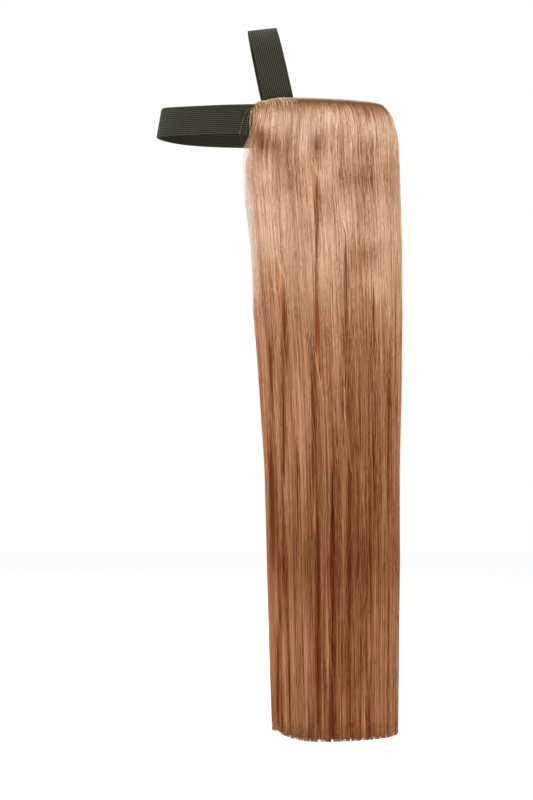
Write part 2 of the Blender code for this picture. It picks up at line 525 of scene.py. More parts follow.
def new_material(name: str) -> tuple[bpy.types.Material, NodeWork, bpy.types.Node]:
    """An empty material with its shader in place.

    Args:
        name: the material's name.

    Returns:
        The material, its node work and its Principled shader.
    """
    material = bpy.data.materials.new(name)
    material.use_nodes = True
    work = NodeWork(material.node_tree)
    shader = material.node_tree.nodes["Principled BSDF"]
    return material, work, shader


def new_group(name: str, inputs: dict[str, object], outputs: dict[str, str]) -> tuple[NodeWork, bpy.types.Node, bpy.types.Node]:
    """A shader node group with named sockets.

    Args:
        name: the group's name.
        inputs: each input's name and its value, a number, a colour or None for a vector.
        outputs: each output's name and its socket type.

    Returns:
        The group's node work, its input node and its output node.
    """
    group = bpy.data.node_groups.new(name, "ShaderNodeTree")
    for key, value in inputs.items():
        kind = "NodeSocketVector" if value is None else "NodeSocketColor" if isinstance(value, tuple) else "NodeSocketFloat"
        socket = group.interface.new_socket(name=key, in_out="INPUT", socket_type=kind)
        if value is not None:
            socket.default_value = value
    for key, kind in outputs.items():
        group.interface.new_socket(name=key, in_out="OUTPUT", socket_type=kind)
    work = NodeWork(group)
    return work, work.add("NodeGroupInput"), work.add("NodeGroupOutput")


@dataclass(frozen=True)
class ColourStop:
    """A colour at one place, from 0 to 1, on a ramp."""

    down: float
    light: tuple[float, float, float]


SHADE_TINTS = (
    ColourStop(0.00, (0.24, 0.10, 0.040)),
    ColourStop(0.25, (0.46, 0.33, 0.225)),
    ColourStop(0.50, (0.667, 0.606, 0.541)),
    ColourStop(1.00, (1.0, 1.0, 1.0)),
)


def strand_shade_group() -> bpy.types.NodeTree:
    """Hair colour and roughness from its lightest colour and a shade, used by all the hair."""
    inputs = {"Light": (0.8, 0.5, 0.3, 1.0), "Shade": 0.5}
    outputs = {"Color": "NodeSocketColor", "Roughness": "NodeSocketFloat"}
    work, given, gives = new_group("strand_shade", inputs, outputs)
    tint = work.ramp(given.outputs["Shade"], [(stop.down, stop.light) for stop in SHADE_TINTS])
    colour = work.mix(1.0, given.outputs["Light"], tint, "MULTIPLY")
    work.join(colour, gives.inputs["Color"])
    work.join(work.remap(given.outputs["Shade"], 0.0, 1.0, 0.50, 0.38), gives.inputs["Roughness"])
    return bpy.data.node_groups["strand_shade"]


def weave_group() -> bpy.types.NodeTree:
    """Fine threads that cross a strip, with lint, used by the elastic and the weft strip."""
    inputs = {"Vector": None, "Thread Pitch": 0.8, "Row Pitch": 1.6, "Lint": 0.3}
    outputs = {"Height": "NodeSocketFloat", "Lint": "NodeSocketFloat"}
    work, given, gives = new_group("cross_weave", inputs, outputs)
    out = given.outputs
    parts = work.add("ShaderNodeSeparateXYZ")
    work.join(out["Vector"], parts.inputs[0])
    along = work.maths("DIVIDE", parts.outputs["X"], work.maths("MULTIPLY", out["Thread Pitch"], MM))
    across = work.maths("DIVIDE", parts.outputs["Y"], work.maths("MULTIPLY", out["Row Pitch"], MM))
    stagger = work.maths("MULTIPLY", work.maths("FLOOR", across), 0.5)
    turn = work.maths("MULTIPLY", work.maths("ADD", along, stagger), 2 * math.pi)
    thread = work.maths("MULTIPLY_ADD", work.maths("SINE", turn), 0.5)
    thread.node.inputs[2].default_value = 0.5
    fuzz = work.noise(out["Vector"], 2600.0, 3.0, 0.6)
    fleck = work.remap(work.noise(out["Vector"], 900.0, 2.0, 0.7), 0.58, 0.74, 0.0, 1.0)
    work.join(work.maths("ADD", thread, work.maths("MULTIPLY", fuzz, 0.5)), gives.inputs["Height"])
    work.join(work.maths("MULTIPLY", fleck, out["Lint"]), gives.inputs["Lint"])
    return bpy.data.node_groups["cross_weave"]


@dataclass(frozen=True)
class ElasticFinish:
    """Ribbed elastic: matt dark ribs with painted shade in the grooves between them, and pale lint.

    Attributes:
        name: the material's name.
        rib: colour of the ribs.
        groove: painted shade between the ribs, darker than their own colour.
        lint: colour of stray fibres.
        ribs: how many ribs cross one face.
        width: the strip's width in metres.
    """

    name: str
    rib: tuple[float, float, float, float]
    groove: tuple[float, float, float, float]
    lint: tuple[float, float, float, float]
    ribs: int
    width: float

    def build(self) -> bpy.types.Material:
        """Builds the material on the piece's own map, whose v runs round the strip in metres."""
        material, work, shader = new_material(self.name)
        uv = work.add("ShaderNodeUVMap", uv_map=STRIP_MAP)
        weave = work.add("ShaderNodeGroup", node_tree=bpy.data.node_groups["cross_weave"])
        work.join(uv.outputs["UV"], weave.inputs["Vector"])
        weave.inputs["Thread Pitch"].default_value = 0.75
        weave.inputs["Row Pitch"].default_value = self.width / self.ribs / MM
        weave.inputs["Lint"].default_value = 0.35
        depth = work.add("ShaderNodeAttribute", attribute_name="rib_height")
        # Painted shade: the grooves between the ribs take the darker groove colour.
        crest = work.remap(depth.outputs["Fac"], 0.40, 0.95, 0.0, 1.0)
        base = work.mix(crest, self.groove, self.rib)
        # Painted shade and highlight: the threads are darker where the weave dips and lighter where it rises.
        thread = work.remap(weave.outputs["Height"], 0.1, 1.3, 0.62, 1.25)
        spread = work.add("ShaderNodeCombineColor")
        for key in ("Red", "Green", "Blue"):
            work.join(thread, spread.inputs[key])
        base = work.mix(1.0, base, spread.outputs["Color"], "MULTIPLY")
        base = work.mix(weave.outputs["Lint"], base, self.lint)
        work.join(base, shader.inputs["Base Color"])
        work.join(work.remap(weave.outputs["Height"], 0.0, 1.4, 0.95, 0.72), shader.inputs["Roughness"])
        bump = work.add("ShaderNodeBump")
        bump.inputs["Strength"].default_value = 0.6
        bump.inputs["Distance"].default_value = 0.12 * MM
        work.join(weave.outputs["Height"], bump.inputs["Height"])
        work.join(bump.outputs["Normal"], shader.inputs["Normal"])
        shader.inputs["Sheen Weight"].default_value = 0.04
        shader.inputs["Specular IOR Level"].default_value = 0.12
        return material


@dataclass(frozen=True)
class ThreadFinish:
    """Thread or tape of the weft: twisted tan fibres with a soft gloss and painted shade between them.

    Attributes:
        name: the material's name.
        light: colour of its raised fibres.
        dark: colour of its darker patches, and the painted shade between its fibres.
        pitch: how far apart its twists lie, in millimetres.
    """

    name: str
    light: tuple[float, float, float, float]
    dark: tuple[float, float, float, float]
    pitch: float

    def build(self) -> bpy.types.Material:
        """Builds the material on the piece's own coordinates."""
        material, work, shader = new_material(self.name)
        spot = work.add("ShaderNodeTexCoord").outputs["Object"]
        weave = work.add("ShaderNodeGroup", node_tree=bpy.data.node_groups["cross_weave"])
        work.join(work.stretched(spot, (1.0, 1.0, 1.0)), weave.inputs["Vector"])
        weave.inputs["Thread Pitch"].default_value = self.pitch
        weave.inputs["Row Pitch"].default_value = self.pitch * 1.7
        weave.inputs["Lint"].default_value = 0.2
        patch = work.noise(work.stretched(spot, (60.0, 60.0, 260.0)), 1.0, 4.0, 0.65)
        # Painted shade: lower fibres are darker; the patch noise is the tape's own uneven tone.
        share = work.maths("MULTIPLY", work.remap(patch, 0.3, 0.7, 0.25, 1.0), work.remap(weave.outputs["Height"], 0.0, 1.4, 0.55, 1.0))
        work.join(work.mix(share, self.dark, self.light), shader.inputs["Base Color"])
        work.join(work.remap(patch, 0.2, 0.8, 0.75, 0.55), shader.inputs["Roughness"])
        bump = work.add("ShaderNodeBump")
        bump.inputs["Strength"].default_value = 0.5
        bump.inputs["Distance"].default_value = 0.1 * MM
        work.join(weave.outputs["Height"], bump.inputs["Height"])
        work.join(bump.outputs["Normal"], shader.inputs["Normal"])
        shader.inputs["Specular IOR Level"].default_value = 0.35
        return material


@dataclass(frozen=True)
class HairFinish:
    """Hair that turns from pale beige at the weft to copper: partly its own colour, partly painted light.

    Attributes:
        name: the materials' first name.
        stops: its lightest colour down the length.
        specular: how glossy it is.
    """

    name: str
    stops: tuple[ColourStop, ...]
    specular: float = 0.09

    def colour(self, work: NodeWork, shade: object, down: object) -> bpy.types.Node:
        """Lays the hair's colour out.

        Args:
            work: the material's node work.
            shade: the socket that tells how light the hair is, from 0 to 1.
            down: the socket that tells how far its colour has turned.

        Returns:
            The strand_shade group's node.
        """
        light = work.ramp(down, [(stop.down, stop.light) for stop in self.stops])
        node = work.add("ShaderNodeGroup", node_tree=bpy.data.node_groups["strand_shade"])
        work.join(light, node.inputs["Light"])
        work.feed(node.inputs["Shade"], shade)
        return node

    def build_strands(self) -> bpy.types.Material:
        """Builds the material of loose strands, which reads only their bake map."""
        material, work, shader = new_material(self.name + "_strands")
        spot = work.add("ShaderNodeUVMap", uv_map=BAKE_MAP).outputs["UV"]
        parts = work.add("ShaderNodeSeparateXYZ")
        work.join(spot, parts.inputs[0])
        glint = work.remap(work.noise(work.stretched(spot, (14.0, 42.0, 1.0)), 1.0, 1.0, 0.5), 0.3, 0.7, -1.0, 1.0)
        swing = work.remap(parts.outputs["Y"], 0.25, 0.45, 0.12, 0.22)
        shade = work.maths("ADD", parts.outputs["X"], work.maths("MULTIPLY", glint, swing))
        node = self.colour(work, shade, work.remap(parts.outputs["Y"], 0.02, 0.98, 0.0, 1.0))
        work.join(node.outputs["Color"], shader.inputs["Base Color"])
        work.join(node.outputs["Roughness"], shader.inputs["Roughness"])
        shader.inputs["Specular IOR Level"].default_value = self.specular
        return material

    def build_body(self) -> bpy.types.Material:
        """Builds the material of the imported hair, with streaks down the piece's own map."""
        material, work, shader = new_material(self.name + "_body")
        spot = work.add("ShaderNodeUVMap", uv_map=STRIP_MAP).outputs["UV"]
        fine = work.noise(work.stretched(spot, (20.0, 3200.0, 1.0)), 1.0, 2.0, 0.6)
        broad = work.noise(work.stretched(spot, (12.0, 700.0, 1.0)), 1.0, 2.0, 0.5)
        streak = work.maths("ADD", work.maths("MULTIPLY", fine, 0.5), work.maths("MULTIPLY", broad, 0.5))
        tone = work.add("ShaderNodeAttribute", attribute_name="tone").outputs["Fac"]
        turned = work.add("ShaderNodeAttribute", attribute_name="turned").outputs["Fac"]
        shade = work.maths("ADD", tone, work.remap(streak, 0.25, 0.75, -0.4, 0.4))
        node = self.colour(work, shade, turned)
        work.join(node.outputs["Color"], shader.inputs["Base Color"])
        work.join(node.outputs["Roughness"], shader.inputs["Roughness"])
        bump = work.add("ShaderNodeBump")
        bump.inputs["Strength"].default_value = 0.7
        bump.inputs["Distance"].default_value = 0.25 * MM
        work.join(streak, bump.inputs["Height"])
        work.join(bump.outputs["Normal"], shader.inputs["Normal"])
        shader.inputs["Specular IOR Level"].default_value = self.specular
        return material


def dress(piece: bpy.types.Object, material: bpy.types.Material, slot: Slot, *nodes: str) -> bpy.types.Object:
    """Gives a piece its material and body, and hides the CAD nodes that it replaces.

    Args:
        piece: the finished piece.
        material: what it wears.
        slot: not used.
        nodes: CAD nodes that it replaces.

    Returns:
        The same piece.
    """
    piece.data.materials.clear()
    piece.data.materials.append(material)
    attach(piece, BODY)
    if nodes:
        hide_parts(*nodes)
    LOG.info("%s: %d triangles", piece.name, sum(len(p.vertices) - 2 for p in piece.data.polygons))
    return piece


@dataclass
class RibbedStrip:
    """A strip of ribbed elastic that fills the wall between four edge lines.

    Attributes:
        name: the piece's name.
        node: the CAD node that it replaces.
        ribs: how many ribs cross each face.
        rib_points: how many points shape one rib.
        relief: how deep the grooves between ribs are.
        stations: how many cross-sections it has.
    """

    name: str
    node: str
    ribs: int = 15
    rib_points: int = 5
    relief: float = 0.32 * MM
    stations: int = 200

    def profile(self) -> tuple[np.ndarray, np.ndarray]:
        """The shares across the strip and how far each lies below the rib crests, from 0 to 1."""
        across = np.linspace(0.0, 1.0, self.ribs * (self.rib_points - 1) + 1)
        place = across * self.ribs % 1.0
        sunk = np.abs(2.0 * place - 1.0) ** 3
        sunk[0] = sunk[-1] = 1.4
        return across, sunk

    def wrap(self, lines: dict[str, np.ndarray], closed: bool) -> bpy.types.Object:
        """Models the strip between its edge lines.

        Args:
            lines: low_out, high_out, low_in and high_in, each stations by 3.
            closed: whether the strip is a loop.

        Returns:
            The piece, with a rib_height attribute from 0 in a groove to 1 on a crest.
        """
        across, sunk = self.profile()
        share = across[None, :, None]
        out = lines["low_out"][:, None] * (1 - share) + lines["high_out"][:, None] * share
        inside = lines["low_in"][:, None] * (1 - share) + lines["high_in"][:, None] * share
        away = unit(out - inside)
        drop = (sunk * self.relief)[None, :, None]
        surface = np.concatenate([out - away * drop, (inside + away * drop)[:, ::-1]], axis=1)
        height = 1.0 - np.clip(np.concatenate([sunk, sunk[::-1]]), 0.0, 1.0)
        marks = {"rib_height": np.tile(height, (len(surface), 1))}
        return folded_grid(self.name, surface, closed, marks)


@dataclass
class HeadBand:
    """The elastic loop round the head."""

    strip: RibbedStrip = field(default_factory=lambda: RibbedStrip("head_band_elastic", "head_band", stations=170))

    def edge_lines(self) -> dict[str, np.ndarray]:
        """Reads the four edges of the CAD band as smooth closed lines."""
        points = node_points(self.strip.node)
        middle = (points.min(axis=0) + points.max(axis=0)) / 2
        rel = points - middle
        stations = grouped(points, np.arctan2(rel[:, 0], rel[:, 1]), 4)
        order = np.argsort(stations[:, :, 2], axis=1)
        by_height = np.take_along_axis(stations, order[:, :, None], axis=1)
        lines = {}
        for key, pair in (("low", by_height[:, :2]), ("high", by_height[:, 2:])):
            reach = np.linalg.norm((pair - middle)[:, :, :2], axis=2)
            swap = np.argsort(reach, axis=1)
            pair = np.take_along_axis(pair, swap[:, :, None], axis=1)
            lines[key + "_in"] = smooth_line(pair[:, 0], self.strip.stations, closed=True)
            lines[key + "_out"] = smooth_line(pair[:, 1], self.strip.stations, closed=True)
        return lines

    def build(self, material: bpy.types.Material) -> bpy.types.Object:
        """Models and dresses the band."""
        piece = self.strip.wrap(self.edge_lines(), closed=True)
        return dress(piece, material, Slot.BAND, self.strip.node)


@dataclass
class CrownStrap:
    """The elastic arch over the crown, which leans forwards."""

    strip: RibbedStrip = field(default_factory=lambda: RibbedStrip("crown_strap_elastic", "crown_strap", stations=130))
    foot_reach: float = 8 * MM
    station_gap: float = math.radians(1.5)

    def edge_lines(self) -> dict[str, np.ndarray]:
        """Reads the front and rear edges of the CAD strap as smooth lines from one end to the other."""
        points = node_points(self.strip.node)
        foot = points[points[:, 2] < points[:, 2].min() + self.foot_reach].mean(axis=0)
        up = unit(np.array([0.0, -foot[1], -foot[2]]))
        back = np.array([0.0, up[2], -up[1]])
        centre = foot @ up * 0.8
        turns = np.arctan2(points[:, 0], points @ up - centre)
        order = np.argsort(turns)
        breaks = np.flatnonzero(np.diff(turns[order]) > self.station_gap) + 1
        edges = {"low_in": [], "low_out": [], "high_in": [], "high_out": []}
        for members in np.split(points[order], breaks):
            by_width = members[np.argsort(members @ back)]
            for key, pair in (("low", by_width[:2]), ("high", by_width[-2:])):
                reach = np.hypot(pair[:, 0], pair @ up - centre)
                edges[key + "_in"].append(pair[np.argmin(reach)])
                edges[key + "_out"].append(pair[np.argmax(reach)])
        return {key: smooth_line(np.array(line), self.strip.stations, closed=False) for key, line in edges.items()}

    def build(self, material: bpy.types.Material) -> bpy.types.Object:
        """Models and dresses the strap."""
        piece = self.strip.wrap(self.edge_lines(), closed=False)
        return dress(piece, material, Slot.STRAP, self.strip.node)


@dataclass
class WeftTrack:
    """The sewn strip that carries the hair, with its rolled hem and stitches.

    Attributes:
        stations: how many cross-sections the strip has.
        hem_radius: the roll along its top edge.
        stitch_pitch: how far apart the stitches over the hem lie.
        stitch_radius: half the sewing thread's thickness.
        end_trim: how much of each end lies hidden in the gathered hair.
        end_round: the radius of its top corners.
        levels: how many points the CAD strip has on its outer face in a cross-section.
    """

    stations: int = 190
    hem_radius: float = 0.85 * MM
    stitch_pitch: float = 1.5 * MM
    stitch_radius: float = 0.16 * MM
    end_trim: float = 2.4 * MM
    end_round: float = 4.0 * MM
    levels: int = 4
    inner: np.ndarray = field(default_factory=lambda: np.empty(0))
    outer: np.ndarray = field(default_factory=lambda: np.empty(0))

    def survey(self) -> None:
        """Reads the CAD strip's two faces as stations by levels, from its foot to its top edge."""
        points = node_points("weft_track")
        rel = points - head_centre()
        turns = np.arctan2(rel[:, 0], rel[:, 1])
        stations = grouped(points, turns, self.levels + 2)
        reach = np.linalg.norm((stations - head_centre())[..., :2], axis=2)
        order = np.argsort(reach, axis=1)
        by_reach = np.take_along_axis(stations, order[:, :, None], axis=1)
        faces = []
        for members in (by_reach[:, :2], by_reach[:, 2:]):
            heights = np.argsort(members[:, :, 2], axis=1)
            faces.append(np.take_along_axis(members, heights[:, :, None], axis=1))
        self.inner = self.trimmed(smooth_line(faces[0], self.stations, closed=False))
        self.outer = self.trimmed(smooth_line(faces[1], self.stations, closed=False))
        self.round_ends()

    def trimmed(self, face: np.ndarray) -> np.ndarray:
        """The face without the last bit at each end, which the gathered hair hides."""
        run = np.concatenate([[0.0], np.cumsum(np.linalg.norm(np.diff(face[:, -1], axis=0), axis=1))])
        spots = np.linspace(self.end_trim, run[-1] - self.end_trim, len(face))
        flat = face.reshape(len(face), -1)
        kept = np.stack([np.interp(spots, run, column) for column in flat.T], axis=1)
        return kept.reshape(face.shape)

    def round_ends(self) -> None:
        """Lowers the top edge in a quarter round at both ends."""
        run = np.concatenate([[0.0], np.cumsum(np.linalg.norm(np.diff(self.inner[:, -1], axis=0), axis=1))])
        reach = np.clip(np.minimum(run, run[-1] - run) / self.end_round, 0.0, 1.0)
        drop = self.end_round * (1.0 - np.sqrt(1.0 - (1.0 - reach) ** 2))
        for face in (self.inner, self.outer):
            foot = face[:, 0, 2]
            height = (face[:, -1, 2] - foot)[:, None]
            face[..., 2] -= drop[:, None] * (face[..., 2] - foot[:, None]) / height

    def strip(self, material: bpy.types.Material) -> bpy.types.Object:
        """Models the strip: a flat tape whose top edge is rolled over."""
        foot_in, foot_out = self.inner[:, 0], self.outer[:, 0]
        neck_in = self.inner[:, 0] * 0.17 + self.inner[:, 1] * 0.83
        neck_out = self.outer[:, 1]
        top = (self.inner[:, -1] + self.outer[:, -1]) / 2
        away = unit(foot_out - foot_in)
        up = np.zeros_like(away)
        up[:, 2] = 1.0
        centre = top - up * self.hem_radius + away * 0.15 * MM
        rows = [foot_in, (foot_in + neck_in) / 2, neck_in]
        for turn in np.radians(np.arange(200.0, -41.0, -24.0)):
            rows.append(centre + (away * math.cos(turn) * 1.25 + up * math.sin(turn)) * self.hem_radius)
        rows += [neck_out - away * 0.2 * MM, (foot_out + neck_out) / 2 - away * 0.2 * MM, foot_out - away * 0.2 * MM]
        piece = folded_grid("weft_strip", np.stack(rows, axis=1), closed=False)
        return dress(piece, material, Slot.TRACK, "weft_track")

    def stitches(self, material: bpy.types.Material) -> bpy.types.Object:
        """Sews slanted stitches over the hem, each a short closed tube."""
        top = (self.inner[:, -1] + self.outer[:, -1]) / 2
        away = unit(self.outer[:, 0] - self.inner[:, 0])
        run = np.concatenate([[0.0], np.cumsum(np.linalg.norm(np.diff(top, axis=0), axis=1))])
        count = int(run[-1] / self.stitch_pitch)
        spots = np.linspace(run[0], run[-1], count + 2)[1:-1]
        turns = np.radians(np.linspace(215.0, -55.0, 9))
        paths = []
        for spot in spots:
            slants = spot + self.stitch_pitch * 0.42 * np.linspace(-1.0, 1.0, len(turns))
            base = np.stack([np.interp(slants, run, top[:, k]) for k in range(3)], axis=1)
            side = unit(np.stack([np.interp(slants, run, away[:, k]) for k in range(3)], axis=1))
            reach = self.hem_radius + self.stitch_radius * 0.4
            ring = side * (np.cos(turns) * 1.25 * reach)[:, None]
            ring[:, 2] += np.sin(turns) * reach
            base[:, 2] -= self.hem_radius
            paths.append(base + side * 0.15 * MM + ring)
        paths = np.array(paths)
        radii = np.full(paths.shape[:2], self.stitch_radius)
        radii[:, [0, -1]] *= 0.5
        along = np.gradient(paths.mean(axis=1), axis=0)
        facing = np.broadcast_to(unit(along)[:, None], paths.shape)
        piece = tube_mesh("weft_stitches", paths, facing, radii, 5)
        return dress(piece, material, Slot.TRACK)


@dataclass
class Lattice:
    """Rows of places on the curtain's two faces.

    Attributes:
        drops: the share down of each row.
        outer: rows by marks by 3, evenly spread from the wearer's right to their left.
        inner: the same on the inner face.
    """

    drops: np.ndarray
    outer: np.ndarray
    inner: np.ndarray

    def at(self, drops: np.ndarray) -> Lattice:
        """The lattice read again at other shares down."""
        held = np.clip(drops, self.drops[0], self.drops[-1])
        upper = np.clip(np.searchsorted(self.drops, held, side="right") - 1, 0, len(self.drops) - 2)
        part = ((held - self.drops[upper]) / (self.drops[upper + 1] - self.drops[upper]))[:, None, None]
        outer = self.outer[upper] * (1 - part) + self.outer[upper + 1] * part
        inner = self.inner[upper] * (1 - part) + self.inner[upper + 1] * part
        return Lattice(np.asarray(drops), outer, inner)

    def arc(self) -> float:
        """The length of the outer line half-way down."""
        line = self.outer[len(self.outer) // 2]
        return float(np.linalg.norm(np.diff(line, axis=0), axis=1).sum())

    def spread(self, shares: np.ndarray, depths: np.ndarray) -> tuple[np.ndarray, np.ndarray, np.ndarray]:
        """Places in the curtain.

        Args:
            shares: strands by rows, the share across.
            depths: strands by rows, how far under the outer face, in metres. A depth past the
                wall's own is held at the inner face.

        Returns:
            Places and the direction outwards, each strands by rows by 3, and the wall's
            thickness there, strands by rows.
        """
        marks = np.linspace(0.0, 1.0, self.outer.shape[1])
        found_out = np.empty(shares.shape + (3,))
        found_in = np.empty(shares.shape + (3,))
        for row in range(len(self.outer)):
            for axis in range(3):
                found_out[:, row, axis] = np.interp(shares[:, row], marks, self.outer[row, :, axis])
                found_in[:, row, axis] = np.interp(shares[:, row], marks, self.inner[row, :, axis])
        wall = np.linalg.norm(found_out - found_in, axis=-1)
        away = (found_out - found_in) / np.maximum(wall, 1e-9)[..., None]
        return found_out - away * np.minimum(depths, wall)[..., None], away, wall

    def share_behind(self, behind: np.ndarray, side: Side) -> np.ndarray:
        """The share across, row by row, of the outer point that far behind the crown on one side.

        Args:
            behind: one distance along Y for each row.
            side: the side it is sought on.

        Returns:
            One share for each row.
        """
        marks = np.linspace(0.0, 1.0, self.outer.shape[1])
        half = marks >= 0.5 if side is Side.LEFT else marks <= 0.5
        found = []
        for row, distance in enumerate(behind):
            depth = self.outer[row, half, 1]
            order = np.argsort(depth)
            found.append(np.interp(distance, depth[order], marks[half][order]))
        return np.array(found)


@dataclass
class CurtainSurvey:
    """Reads where the CAD curtain's two faces lie, by casting rays at its sections.

    Attributes:
        marks: how many places across are read.
        first: the first level plane, as a share of the hair's length.
        last: the last level plane.
        planes: how many level planes are read.
        top_drops: how far under the hair's top edge the first rows lie, in metres.
        sections: how many sections the curtain has.
    """

    marks: int = 289
    first: float = 0.018
    last: float = 0.972
    planes: int = 44
    top_drops: tuple[float, ...] = (0.2 * MM, 2.0 * MM, 4.5 * MM)
    sections: int = 12

    def node(self, index: int) -> str:
        """The CAD node of one section, counted from the wearer's right."""
        return f"hair_section_{index + 1:02d}"

    def extent(self) -> tuple[float, float]:
        """The heights of the hair's top and of its cut."""
        boxes = [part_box(self.node(index)) for index in range(self.sections)]
        return max(high[2] for _, high in boxes), min(low[2] for low, _ in boxes)

    def tree(self) -> BVHTree:
        """One tree of all the CAD sections' triangles."""
        points, faces = [], []
        for index in range(self.sections):
            mesh = FRAME_NODES[self.node(index)].data
            start = len(points)
            points += [v.co.copy() for v in mesh.vertices]
            faces += [[start + i for i in p.vertices] for p in mesh.polygons]
        return BVHTree.FromPolygons(points, faces)

    def outline(self, tree: BVHTree, height: float) -> tuple[np.ndarray, np.ndarray]:
        """The curtain's outer and inner lines on one level plane.

        Args:
            tree: the CAD sections.
            height: the plane's height.

        Returns:
            Two lines of points, each spread evenly over its length.
        """
        start = Vector((*head_centre()[:2], height))
        outside, inside, rays = [], [], []
        for bearing in np.radians(np.arange(-128.0, 128.01, 0.4)):
            ray = Vector((math.sin(bearing), math.cos(bearing), 0.0))
            near = tree.ray_cast(start, ray, 0.2)[0]
            far = tree.ray_cast(start + ray * 0.2, -ray, 0.2)[0]
            if near is not None and far is not None and (far - near).dot(ray) > 0.5 * MM:
                outside.append((far - start).length)
                inside.append((near - start).length)
                rays.append(ray[:])
        lines = []
        for reaches in (outside, inside):
            padded = np.pad(np.array(reaches), 2, mode="edge")
            steady = np.median(np.stack([padded[i:i + len(reaches)] for i in range(5)]), axis=0)
            lines.append(self.even(np.array(start) + np.array(rays) * steady[:, None]))
        return lines[0], lines[1]

    def even(self, line: np.ndarray) -> np.ndarray:
        """The line with its points spread evenly over its length."""
        run = np.concatenate([[0.0], np.cumsum(np.linalg.norm(np.diff(line, axis=0), axis=1))])
        spots = np.linspace(0.0, run[-1], self.marks)
        return np.stack([np.interp(spots, run, line[:, k]) for k in range(3)], axis=1)

    def read(self) -> Lattice:
        """Reads both faces from the top edge to the cut."""
        tree = self.tree()
        top, foot = self.extent()
        shares = np.linspace(self.first, self.last, self.planes)
        lines = [self.outline(tree, top - share * (top - foot)) for share in shares]
        outer = [pair[0] for pair in lines]
        inner = [pair[1] for pair in lines]
        away = unit(outer[0] - inner[0])
        away[:, 2] = 0.0
        ceiling = self.end_heights(tree, inner[0] + away * 0.7 * MM, top + 5 * MM, -1.0)
        first_out, first_in = [], []
        for drop in self.top_drops:
            spots = inner[0].copy()
            spots[:, 2] = ceiling - drop
            first_out.append(self.cast_across(tree, spots, away, 30 * MM))
            first_in.append(spots)
        last_out, last_in = outer[-1].copy(), inner[-1].copy()
        floor = self.end_heights(tree, (outer[-1] + inner[-1]) / 2, foot - 5 * MM, 1.0)
        floor = np.convolve(np.pad(floor, 14, mode="reflect", reflect_type="odd"), np.ones(29) / 29, mode="valid")
        last_out[:, 2] = floor
        last_in[:, 2] = floor
        first_shares = [drop / (top - foot) for drop in self.top_drops]
        drops = np.array([*first_shares, *shares, 1.0])
        return Lattice(drops, np.array([*first_out, *outer, last_out]), np.array([*first_in, *inner, last_in]))

    def end_heights(self, tree: BVHTree, spots: np.ndarray, start: float, sign: float) -> np.ndarray:
        """Heights of the curtain's end face over or under each spot, smoothed across.

        Args:
            tree: the CAD sections.
            spots: places in plan.
            start: the height that the rays leave from.
            sign: 1 for rays that go up, -1 for down.

        Returns:
            One height for each spot.
        """
        found = []
        for x, y, _ in spots:
            hit = tree.ray_cast(Vector((x, y, start)), Vector((0.0, 0.0, sign)), 0.06)[0]
            found.append(np.nan if hit is None else hit.z)
        heights = self.filled(np.array(found))
        steady = np.median(np.stack([np.roll(heights, k) for k in (-2, -1, 0, 1, 2)]), axis=0)
        steady[:2], steady[-2:] = heights[:2], heights[-2:]
        return np.convolve(np.pad(steady, 2, mode="edge"), np.ones(5) / 5, mode="valid")

    def filled(self, values: np.ndarray) -> np.ndarray:
        """The values with the missing ones read off their neighbours."""
        known = ~np.isnan(values)
        index = np.arange(len(values))
        return np.interp(index, index[known], values[known])

    def cast_across(self, tree: BVHTree, spots: np.ndarray, away: np.ndarray, reach: float) -> np.ndarray:
        """Where the outer face lies across from each spot.

        Args:
            tree: the CAD sections.
            spots: places on the inner face.
            away: the outward direction at each spot.
            reach: how far outside the rays start.

        Returns:
            Places on the outer face, each at its spot's height.
        """
        gaps = []
        for spot, ray in zip(spots, away):
            hit = tree.ray_cast(Vector(spot + ray * reach), Vector(-ray), reach * 1.5)[0]
            gaps.append(np.nan if hit is None else (Vector(spot) - hit).length)
        return spots + away * self.filled(np.array(gaps))[:, None]


@dataclass(frozen=True)
class Parting:
    """A groove between two locks, in millimetres on the wearer's left side.

    Attributes:
        behind: how far behind the crown it lies.
        start: how far below the weft it opens.
        stop: how far below the weft it closes.
        width: how wide it opens.
    """

    behind: float
    start: float
    stop: float
    width: float


@dataclass(frozen=True)
class Patch:
    """A patch of hair made lighter or darker, in millimetres on the wearer's left side; near the weft it is painted
    highlight or painted shade from the hair's waves.

    Attributes:
        behind: how far behind the crown its middle lies.
        below: how far below the weft its middle lies.
        across: half its width.
        down: half its height.
        light: how much lighter it is, or darker where negative.
    """

    behind: float
    below: float
    across: float
    down: float
    light: float


PARTINGS = (
    Parting(behind=8, start=180, stop=400, width=1.3),
    Parting(behind=18, start=145, stop=325, width=1.6),
    Parting(behind=30, start=248, stop=379, width=1.0),
    Parting(behind=45, start=52, stop=225, width=1.5),
    Parting(behind=43, start=205, stop=345, width=2.0),
    Parting(behind=47, start=320, stop=529, width=1.7),
    Parting(behind=58, start=285, stop=529, width=1.9),
    Parting(behind=69, start=110, stop=300, width=1.6),
    Parting(behind=73, start=275, stop=529, width=1.8),
    Parting(behind=92, start=145, stop=335, width=1.9),
    Parting(behind=105, start=230, stop=380, width=1.0),
    Parting(behind=14, start=412, stop=529, width=1.2),
    Parting(behind=23, start=440, stop=529, width=0.9),
    Parting(behind=88, start=478, stop=529, width=1.9),
    Parting(behind=100, start=412, stop=529, width=1.0),
)
